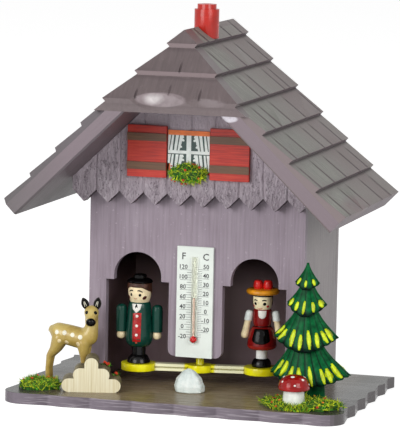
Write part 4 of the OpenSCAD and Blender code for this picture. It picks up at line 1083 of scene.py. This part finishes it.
def flock_patch(name, solid, slot, count, seed, away, lift, dyes, blooms, length, fringe=()):
    """A tuft of shreds over a small core, in the room of its solid."""
    draw = random.Random(seed)
    source = node[solid].data
    low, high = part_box(solid)
    middle = (low + high) / 2
    foot = Vector([low[i] if away[i] > 0.5 else high[i] if away[i] < -0.5 else middle[i] for i in range(3)])
    bm = bmesh.new()
    bm.from_mesh(source)
    bmesh.ops.remove_doubles(bm, verts=bm.verts, dist=weld_reach * MM)
    for v in bm.verts:
        v.co = foot + (v.co - foot) * core_share
    for face in bm.faces:
        face.material_index = 1
    for point, outward in spots_over(source, count, draw, away):
        way = (outward * lift + drawn(draw, (-1, 1), (-1, 1), (-1, 1))).normalized()
        if way.dot(away) < 0.05:
            way = (way + away * (0.1 - way.dot(away))).normalized()
        long = draw.uniform(*length) * MM
        bend = drawn(draw, (-1, 1), (-1, 1), (-0.6, 0.3)) * long * 0.3
        root = point - outward * 0.5 * MM - way * long * 0.35
        lay_shred(bm, root, way, long, draw.uniform(0.35, 0.8) * MM, bend, draw.choice(dyes))
    for x, y in fringe:
        for _ in range(20):
            root = Vector((x + draw.uniform(-1.2, 1.2), y + draw.uniform(-0.8, 0.8), base_top + 0.1)) * MM
            way = drawn(draw, (-0.8, 0.8), (-0.6, 0.1), (0.5, 1.6)).normalized()
            bend = Vector((draw.uniform(-1, 1), draw.uniform(-0.6, 0.6), 0)) * 0.8 * MM
            long, wide = draw.uniform(2.6, 5.0) * MM, draw.uniform(0.4, 0.8) * MM
            lay_shred(bm, root, way, long, wide, bend, draw.choice(dyes))
    for point, outward in spots_over(source, blooms, draw, away):
        wide = draw.uniform(1.0, 1.7) * MM
        lay_bloom(bm, point + outward * 0.5 * MM, outward, wide, draw.choice((4, 4, 5)))
    fixed(made_piece(name, bm, *flock_dyes), "house", slot, solid)


window_dyes, left_dyes, right_dyes = (0, 0, 2, 2, 2, 3), (0, 0, 1, 2, 2, 3, 3), (0, 1, 2, 2, 2, 3, 3)
before_toadstool = [(48.5 + 2.0 * i, -47.6 + 0.06 * (i - 3.5) ** 2) for i in range(8)]
flock_patch(
    "window_tuft", "window_flowers", "flower_flock", 330, 3, FORWARD, 0.55, window_dyes, 16, (2.0, 4.2)
)
flock_patch("left_moss", "left_grass", "moss_flock", 620, 5, UP, 0.35, left_dyes, 7, (2.2, 5.0))
flock_patch(
    "right_moss", "right_grass", "moss_flock", 1000, 8, UP, 0.35, right_dyes, 14, (2.0, 4.4), before_toadstool
)


# Deer: a small carved doe, dipped in tan enamel, with white spots along her back and black ears.
# She stands behind the rock on the base and looks round at the viewer.
deer_foot = Vector((-54.1, -18.6, base_top))
deer_size, deer_clear, eyes_clear, nose_clear = 1.036, 12, 15, 12
nose_tip = (9.4, -5.4, 28.7)


def on_deer(x, y, z):
    """A place in mm, from the mm off the deer's foot before she is sized."""
    return deer_foot + Vector((x, y, z)) * deer_size


def ball_chain(bm, *balls):
    """A limb: hulls over pairs of balls, each given as x, y, z and radius in mm from the foot."""
    for one, two in zip(balls, balls[1:]):
        limb = bmesh.new()
        for x, y, z, r in (one, two):
            made = bmesh.ops.create_uvsphere(limb, u_segments=20, v_segments=10, radius=r * deer_size * MM)
            bmesh.ops.translate(limb, verts=made["verts"], vec=on_deer(x, y, z) * MM)
        hull = bmesh.ops.convex_hull(limb, input=limb.verts)
        spare = [e for e in hull["geom_interior"] + hull["geom_unused"] if isinstance(e, bmesh.types.BMVert)]
        bmesh.ops.delete(limb, geom=spare, context="VERTS")
        shape = bpy.data.meshes.new("limb")
        limb.to_mesh(shape)
        limb.free()
        bm.from_mesh(shape)
        bpy.data.meshes.remove(shape)


body = bmesh.new()
ball_chain(
    body, (-10.4, 0, 23.6, 1.6), (-7.2, 0, 22.6, 4.0), (-2.5, 0, 21.4, 4.6), (3.4, 0, 20.2, 4.7),
    (6.6, 0, 21.3, 4.0), (8.0, -0.3, 25.9, 2.9), (7.9, -0.8, 30.9, 3.0),
)
ball_chain(body, (8.0, -1.2, 32.1, 3.3), (8.7, -3.2, 30.1, 2.5), (*nose_tip, 1.9))
ball_chain(body, (-10.4, 0, 24.0, 1.4), (-11.6, 0.3, 22.8, 0.8))
for side in (-1, 1):
    ball_chain(
        body, (-6.4, side * 1.7, 20.0, 3.5), (-8.4, side * 1.9, 15.2, 2.3), (-10.9, side * 1.7, 11.9, 1.5),
        (-11.6, side * 1.6, 6, 1.2), (-11.4, side * 1.6, 0.9, 1.3), (-11.0, side * 1.6, 0.5, 1.2),
    )
    ball_chain(
        body, (4.6, side * 1.7, 18.6, 3.1), (5.0, side * 1.8, 12, 1.6), (5.0, side * 1.8, 6, 1.2),
        (5.2, side * 1.8, 0.6, 1.25),
    )
rough_deer = made_piece("rough_deer", body)
blend = rough_deer.modifiers.new("one_skin", "REMESH")
blend.mode = "VOXEL"
blend.voxel_size = 0.42 * MM
relax = rough_deer.modifiers.new("carved_round", "SMOOTH")
relax.factor = 0.5
relax.iterations = 9
bpy.context.view_layer.update()
deer_mesh = bpy.data.meshes.new_from_object(rough_deer.evaluated_get(bpy.context.evaluated_depsgraph_get()))
bpy.data.objects.remove(rough_deer)
for vertex in deer_mesh.vertices:
    vertex.co.z = max(vertex.co.z, base_top * MM)
for face in deer_mesh.polygons:
    face.use_smooth = True
deer_mesh.name = "deer_body"
deer_body = bpy.data.objects.new("deer_body", deer_mesh)
scene.collection.objects.link(deer_body)

deer_tan, deer_tree, deer_shader = new_finish("deer_tan", {"Roughness": 0.26})
deer_share = scaled(deer_tree, axes_on(deer_tree)[2], base_top * MM, 44 * MM)
deer_coat = tint_steps(
    deer_tree, deer_share, (0.0, (146, 110, 44)), (0.12, (180, 152, 74)), (0.35, (192, 168, 94)),
    (0.56, (184, 158, 82)), (0.68, (200, 178, 106)),
)
deer_streak = noise_on(deer_tree, place_on(deer_tree), 240.0, 4.0)
deer_tree.links.new(deer_coat, deer_shader.inputs["Base Color"])
washed(deer_tan, scaled(deer_tree, deer_streak, 0.45, 0.75, 0.0, 0.55), (150, 112, 48))
bumped(deer_tree, deer_shader, deer_streak, 0.06, 0.5)
deer_mesh.materials.clear()
deer_mesh.materials.append(deer_tan)
fixed(deer_body, "house", "deer_paint", "deer")

deer_skin = surface_of(deer_body)
deer_white = gloss_paint("deer_white", (236, 232, 212), 0.35, 0.06)
deer_pale = gloss_paint("deer_pale", (224, 204, 158), 0.35, 0.08)
spots = bmesh.new()
for side in (-1, 1):
    for x, z, wide, shade in (
        (-6.9, 22.9, 2.4, 0), (-3.3, 22.9, 2.6, 0), (0.4, 22.2, 2.4, 0), (4.0, 21.4, 2.6, 0),
        (-5.4, 19.2, 2.2, 1), (-2.4, 18.6, 2.4, 1), (3.0, 18.2, 2.4, 1),
    ):
        spot = seat(deer_skin, on_deer(x, side * deer_clear, z) * MM, (0, -side, 0))
        lay_dab(spots, deer_skin, spot, oval(wide, wide * 1.1), 0.07, paint=shade)
fixed(made_piece("deer_spots", spots, deer_white, deer_pale), "house", "deer_paint")

gaze = Vector((0.2, -0.98, 0)).normalized()
beside = Vector((0.98, 0.2, 0)).normalized()
head_middle = on_deer(8.2, -1.6, 31.9)
face_paint = bmesh.new()
for side in (-1, 1):
    start = (head_middle + beside * side * 2.0 + gaze * eyes_clear + Vector((0, 0, 0.6))) * MM
    lay_dab(face_paint, deer_skin, seat(deer_skin, start, -gaze), oval(2.1, 2.1), 0.4)
nose = seat(deer_skin, (on_deer(*nose_tip) + gaze * nose_clear) * MM, -gaze)
lay_dab(face_paint, deer_skin, nose, oval(4.6, 4.0, 20), 0.7, 5)
fixed(made_piece("deer_eyes_and_nose", face_paint, black_gloss), "house", "deer_paint")


def skin_rows(bm, rows):
    """Closes rings of points, one after the other, to a solid; gives its sides and its ends."""
    n = len(rows[0])
    sides = [
        bm.faces.new((one[i], one[(i + 1) % n], two[(i + 1) % n], two[i]))
        for one, two in zip(rows, rows[1:])
        for i in range(n)
    ]
    return sides, [bm.faces.new(rows[0][::-1]), bm.faces.new(rows[-1])]


ear_wide, ear_tall, ear_thick = 1.75, 5.4, 0.42
ears = bmesh.new()
for side, lean in ((-1, -0.46), (1, 0.14)):
    root = head_middle + beside * side * 2.1 + Vector((0, 0.4, 1.9))
    tall = (beside * lean + Vector((0, 0.1, 1))).normalized()
    flat = beside * 0.95 - tall * beside.dot(tall)
    flat.normalize()
    ahead = flat.cross(tall).normalized()
    for scale, push, paint in ((1.0, 0.0, 0), (0.78, 0.32, 1)):
        rows = []
        for k in range(9):
            share = k / 8
            wide = ear_wide * scale * (math.sin(math.pi * (0.12 + 0.86 * share)) ** 0.75) + 0.04
            level = ear_tall * share * scale + (1 - scale) * 2.6
            row = []
            for t in range(8):
                angle = 2 * math.pi * t / 8
                bow = 0.5 * (math.cos(angle) ** 2) * scale
                out = ahead * (ear_thick * scale * math.sin(angle) + bow + push)
                row.append(ears.verts.new((root + tall * level + flat * wide * math.cos(angle) + out) * MM))
            rows.append(row)
        sides, ends = skin_rows(ears, rows)
        paint_faces(sides + ends, paint)
    for shift in (-0.6, 0.25):
        line = []
        for i in range(5):
            point = root + tall * (1.2 + 0.6 * i) + flat * shift * (1 - 0.14 * i) + ahead * 0.98
            line.append((point * MM, ahead))
        lay_stroke(ears, line, 0.4, 0.14, 2)
ear_edge = gloss_paint("ear_edge", (30, 26, 22), 0.3, 0.3, gloss=0.2)
fixed(made_piece("deer_ears", ears, ear_edge, black_gloss, deer_white), "house", "deer_paint")


# Rock: a cloud-shaped block sawn from a thick board, bare on its face and washed olive on its edges.
# Paper flowers and a little flock are glued on its right shoulder.
rock_wood, rock_tree, rock_shader = new_finish("rock_wood", {"Roughness": 0.6})
rock_front = (0.2756, -0.9613, 0)
rock_fibre = noise_on(rock_tree, along_grain(rock_tree, UPRIGHT, (0.6, 0.6, 24)), 1.0, 5.0, 0.6)
bare_steps = ((0.3, (208, 196, 156)), (0.5, (226, 217, 184)), (0.7, (236, 230, 202)))
rock_bare = tint_steps(rock_tree, rock_fibre, *bare_steps)
rock_cloud = noise_on(rock_tree, place_on(rock_tree), 300.0, 4.0)
wash_steps = ((0.35, (94, 87, 64)), (0.55, (128, 119, 90)), (0.7, (158, 148, 114)))
rock_wash = tint_steps(rock_tree, rock_cloud, *wash_steps)
rock_face = turned_to(rock_tree, rock_front, 0.75, 0.93)
rock_tree.links.new(mixed(rock_tree, rock_face, rock_wash, rock_bare), rock_shader.inputs["Base Color"])
bumped(rock_tree, rock_shader, rock_fibre, 0.14, 0.7)
ease_edges(coat("rock_cutout", rock_wood), 0.35)

rock_skin = surface_of(node["rock_cutout"])
draw = random.Random(17)
posy = bmesh.new()
for x, y, wide in ((-36.2, -25.4, 3.0), (-32.2, -24.6, 2.8), (-37.6, -24.4, 2.2)):
    top, outward = seat(rock_skin, Vector((x, y, 40)) * MM, (0, 0, -1))
    for _ in range(16):
        loose = drawn(draw, (-1, 1), (-1, 1), (-0.2, 0.7))
        way = (loose + outward * 0.5).normalized()
        root = top + Vector((draw.uniform(-1.3, 1.3), draw.uniform(-1.3, 1.3), -0.2)) * MM
        long = draw.uniform(1.2, 2.4) * MM
        lay_shred(posy, root, way, long, 0.5 * MM, loose * 0.3 * MM, draw.choice((0, 0, 1, 3)))
    for i in range(3):
        shift = Vector((draw.uniform(-0.7, 0.7), draw.uniform(-0.9, 0.3), 0.6 + 0.3 * i)) * MM
        lay_bloom(posy, top + shift, (outward + Vector((0.2, -0.6, 0.1))).normalized(), wide * 0.6 * MM, 4)
fixed(made_piece("rock_posy", posy, *flock_dyes), "house", "flower_flock", "rock_flowers")


# Fir: carved in four drooping tiers from one flat piece and painted green.
# Painted shade darkens the cuts between the boughs, the tiers' lower edges and undersides and the top of the
# trunk; the bough ends are touched with yellow-green.
fir_foot = Vector((55.7, -23.4, base_top))
fir_tall, fir_wide, fir_deep = 63.5, 17.6, 8.8
fir_tiers = [
    # top and side-tip heights, reach at the top and at the tip, droop of the front, boughs
    (0.985, 0.846, 0.03, 0.33, 0.046, 5),
    (0.84, 0.70, 0.17, 0.53, 0.085, 7),
    (0.69, 0.472, 0.24, 0.85, 0.105, 9),
    (0.47, 0.211, 0.34, 1.06, 0.08, 11),
]
fir_lean = (0, 0, 0, 2.4)
around, down, trunk_around = 132, 12, 28
trunk_wide, trunk_deep, trunk_shift = 4.8, 2.6, 4.5


def fir_point(tier, share, angle):
    """A place on a tier, by the share of the way down and the angle, and how near a bough's middle it is."""
    top, tip, narrow, wide, droop, boughs = fir_tiers[tier]
    cut = abs(math.cos(boughs * angle)) ** 0.8
    reach = narrow + (wide - narrow) * share**1.45
    ridge = 1 - 0.06 * share * (1 - cut)
    side = math.cos(angle) ** 2
    level = top + (tip - top) * share - droop * share**2 * (1 - side) + 0.008 * share**3 * (1 - cut)
    return Vector((
        fir_wide * reach * ridge * math.cos(angle) + fir_lean[tier] * share**1.45,
        fir_deep * (reach * 0.92 + 0.05) * ridge * math.sin(angle),
        fir_tall * level,
    )), cut


fir = bmesh.new()
# The share of painted shade on each corner of the fir.
fir_shade = fir.verts.layers.float_color.new("toned")


def fir_corner(point, dark):
    """A corner of the fir's mesh, with its share of painted shade."""
    corner = fir.verts.new((fir_foot + point) * MM)
    corner[fir_shade] = (dark, dark, dark, 1)
    return corner


turns = [2 * math.pi * j / around for j in range(around)]
for tier in range(4):
    rows = []
    for k in range(down + 1):
        row = []
        for angle in turns:
            point, cut = fir_point(tier, k / down, angle)
            front = 1 - abs(math.cos(angle))
            # Painted shade in the cuts between the boughs, at each tier's lower edge and on the front just
            # under the tier above.
            in_cut = max(0.0, (0.55 - cut) * 2.6) * (0.3 + 0.7 * k / down)
            at_edge = max(0.0, k / down - 0.93 + 0.1 * front) * 7
            under_tier = max(0.0, 0.46 - k / down) * 3 * front * (tier > 0)
            row.append(fir_corner(point, min(1.0, in_cut + at_edge + under_tier)))
        rows.append(row)
    # Rows tucked under each tier's edge, in full painted shade.
    for pull, rise in ((0.9, -0.006), (0.55, 0.03)):
        tips = [fir_point(tier, 1.0, angle)[0] for angle in turns]
        rows.append([fir_corner(Vector((p.x * pull, p.y * pull, p.z + fir_tall * rise)), 1) for p in tips])
    paint_faces(skin_rows(fir, rows)[0])
trunk_rows = []
# The trunk, darker higher up under the lowest tier: painted shade.
for level, swell, dark in ((0.0, 1.05, 0.15), (0.06, 0.98, 0.15), (0.15, 0.92, 0.6), (0.26, 0.9, 0.6)):
    row = []
    for j in range(trunk_around):
        angle = 2 * math.pi * j / trunk_around
        x = trunk_wide * swell * math.cos(angle) + trunk_shift
        y = trunk_deep * swell * math.sin(angle)
        row.append(fir_corner(Vector((x, y, fir_tall * level)), dark))
    trunk_rows.append(row)
paint_faces(skin_rows(fir, trunk_rows)[0])

fir_green, fir_tree, fir_shader = new_finish("fir_green", {"Roughness": 0.34, "Specular IOR Level": 0.06})
fir_brush = noise_on(fir_tree, place_on(fir_tree), 420.0, 4.0)
fir_leaf = tint_steps(fir_tree, fir_brush, (0.3, (2, 64, 33)), (0.5, (5, 84, 44)), (0.7, (12, 104, 56)))
fir_shade_share = shader_node(fir_tree, "Attribute", attribute_name="toned").outputs["Fac"]
fir_tree.links.new(fir_leaf, fir_shader.inputs["Base Color"])
# Painted shade from each corner's share.
washed(fir_green, fir_shade_share, (8, 18, 18))
bumped(fir_tree, fir_shader, fir_brush, 0.12, 0.6)
fir_body = fixed(made_piece("fir_body", fir, fir_green), "house", "fir_paint", "fir_tree")

fir_skin = surface_of(fir_body)
fir_lime = gloss_paint("fir_lime", (196, 214, 20), 0.35, 0.12, 0.05, 500.0)
draw = random.Random(29)
touches = bmesh.new()
for tier, (count, size) in enumerate(((3, 0.72), (5, 0.86), (8, 1), (8, 1))):
    for face in (-90, 90):
        for j in range(count):
            angle = math.radians(face + 150 * ((j + 0.5) / count - 0.5) + draw.uniform(-5, 5))
            sway = math.radians(draw.uniform(-5, 5))
            start_share, end_share = draw.uniform(0.6, 0.72), draw.uniform(0.94, 0.99)
            out = Vector((math.cos(angle), math.sin(angle) * 0.8, 0.25)).normalized()
            line = []
            for i in range(6):
                share = start_share + (end_share - start_share) * i / 5
                point, _ = fir_point(tier, share, angle + sway * i / 5)
                line.append(seat(fir_skin, (fir_foot + point + out * 3) * MM, -out))
            lay_stroke(touches, line, draw.uniform(3.0, 3.9) * size, 0.3)
fixed(made_piece("fir_touches", touches, fir_lime), "house", "fir_paint")


# Toadstool: a turned white stem under a turned cap, in gloss red with dots of white.
# It is glued on the base in front of the fir, in the moss.
coat("mushroom_cap", gloss_paint("cap_red", (150, 6, 5), 0.12, 0.12, 0.04, 240.0, 0.3))
coat("mushroom_stem", gloss_paint("stem_white", (226, 230, 222), 0.3, 0.06, 0.08, 240.0))
cap_skin = surface_of(node["mushroom_cap"])
cap_low, cap_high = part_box("mushroom_cap")
cap_middle = Vector(((cap_low.x + cap_high.x) / 2, (cap_low.y + cap_high.y) / 2, cap_low.z))
cap_clear = 20
dots = bmesh.new()
for bearing, rise, wide in (
    (4, 62, 2.2), (62, 44, 1.9), (-42, 34, 1.5), (18, 24, 1.3), (-75, 52, 1.8),
    (120, 50, 2.0), (180, 40, 1.8), (-130, 46, 1.9), (95, 22, 1.3),
):
    a, e = math.radians(bearing), math.radians(rise)
    out = Vector((math.sin(a) * math.cos(e), -math.cos(a) * math.cos(e), math.sin(e)))
    spot = seat(cap_skin, cap_middle + out * cap_clear * MM, -out)
    lay_dab(dots, cap_skin, spot, oval(wide, wide * 0.85), 0.18)
fixed(made_piece("cap_dots", dots, white_enamel), "house", "toadstool_white")


# Pebble: a broken lump of white quartz, glued on the base in front of the arm.
# Its faces are uneven and sugary, and a little light passes through it.
stone_x, stone_y = 1.0 * MM, -19.4 * MM
floor_z, spread_height = base_top * MM, 3.4 * MM
stone = bmesh.new()
stone.from_mesh(node["pebble"].data)
bmesh.ops.remove_doubles(stone, verts=stone.verts, dist=weld_reach * MM)
for _ in range(3):
    bmesh.ops.subdivide_edges(stone, edges=stone.edges, cuts=1, use_grid_fill=True)
for _ in range(3):
    bmesh.ops.smooth_vert(
        stone, verts=stone.verts, factor=0.5, use_axis_x=True, use_axis_y=True, use_axis_z=True
    )
for v in stone.verts:
    spread = 1 + 0.2 * max(0.0, 1 - (v.co.z - floor_z) / spread_height)
    v.co.x = stone_x + (v.co.x - stone_x) * spread
    v.co.y = stone_y + (v.co.y - stone_y) * spread
    chip = noise.cell(v.co * 330) * 0.35 + noise.noise(v.co * 420) * 0.5 + noise.noise(v.co * 1300) * 0.2
    if v.co.z > floor_z + 0.2 * MM:
        v.co += Vector((v.co.x - stone_x, v.co.y - stone_y, 0)).normalized() * chip * 0.35 * MM
    v.co.z = max(v.co.z, floor_z)
quartz_kind = {"Roughness": 0.5, "Subsurface Weight": 0.25, "Subsurface Radius": (0.002, 0.002, 0.002)}
quartz, quartz_tree, quartz_shader = new_finish("quartz", quartz_kind)
quartz_grain = noise_on(quartz_tree, place_on(quartz_tree), 500.0, 5.0, 0.65)
quartz_vein = noise_on(quartz_tree, place_on(quartz_tree), 110.0, 3.0, 0.6, 1.5)
quartz_tone = weighed(quartz_tree, quartz_vein, 0.55, quartz_grain)
quartz_steps = ((0.3, (196, 208, 204)), (0.5, (222, 232, 228)), (0.7, (244, 248, 244)))
quartz_tree.links.new(tint_steps(quartz_tree, quartz_tone, *quartz_steps), quartz_shader.inputs["Base Color"])
bumped(quartz_tree, quartz_shader, quartz_grain, 0.2, 0.8)
fixed(made_piece("quartz_pebble", stone, quartz), "house", "quartz", "pebble")
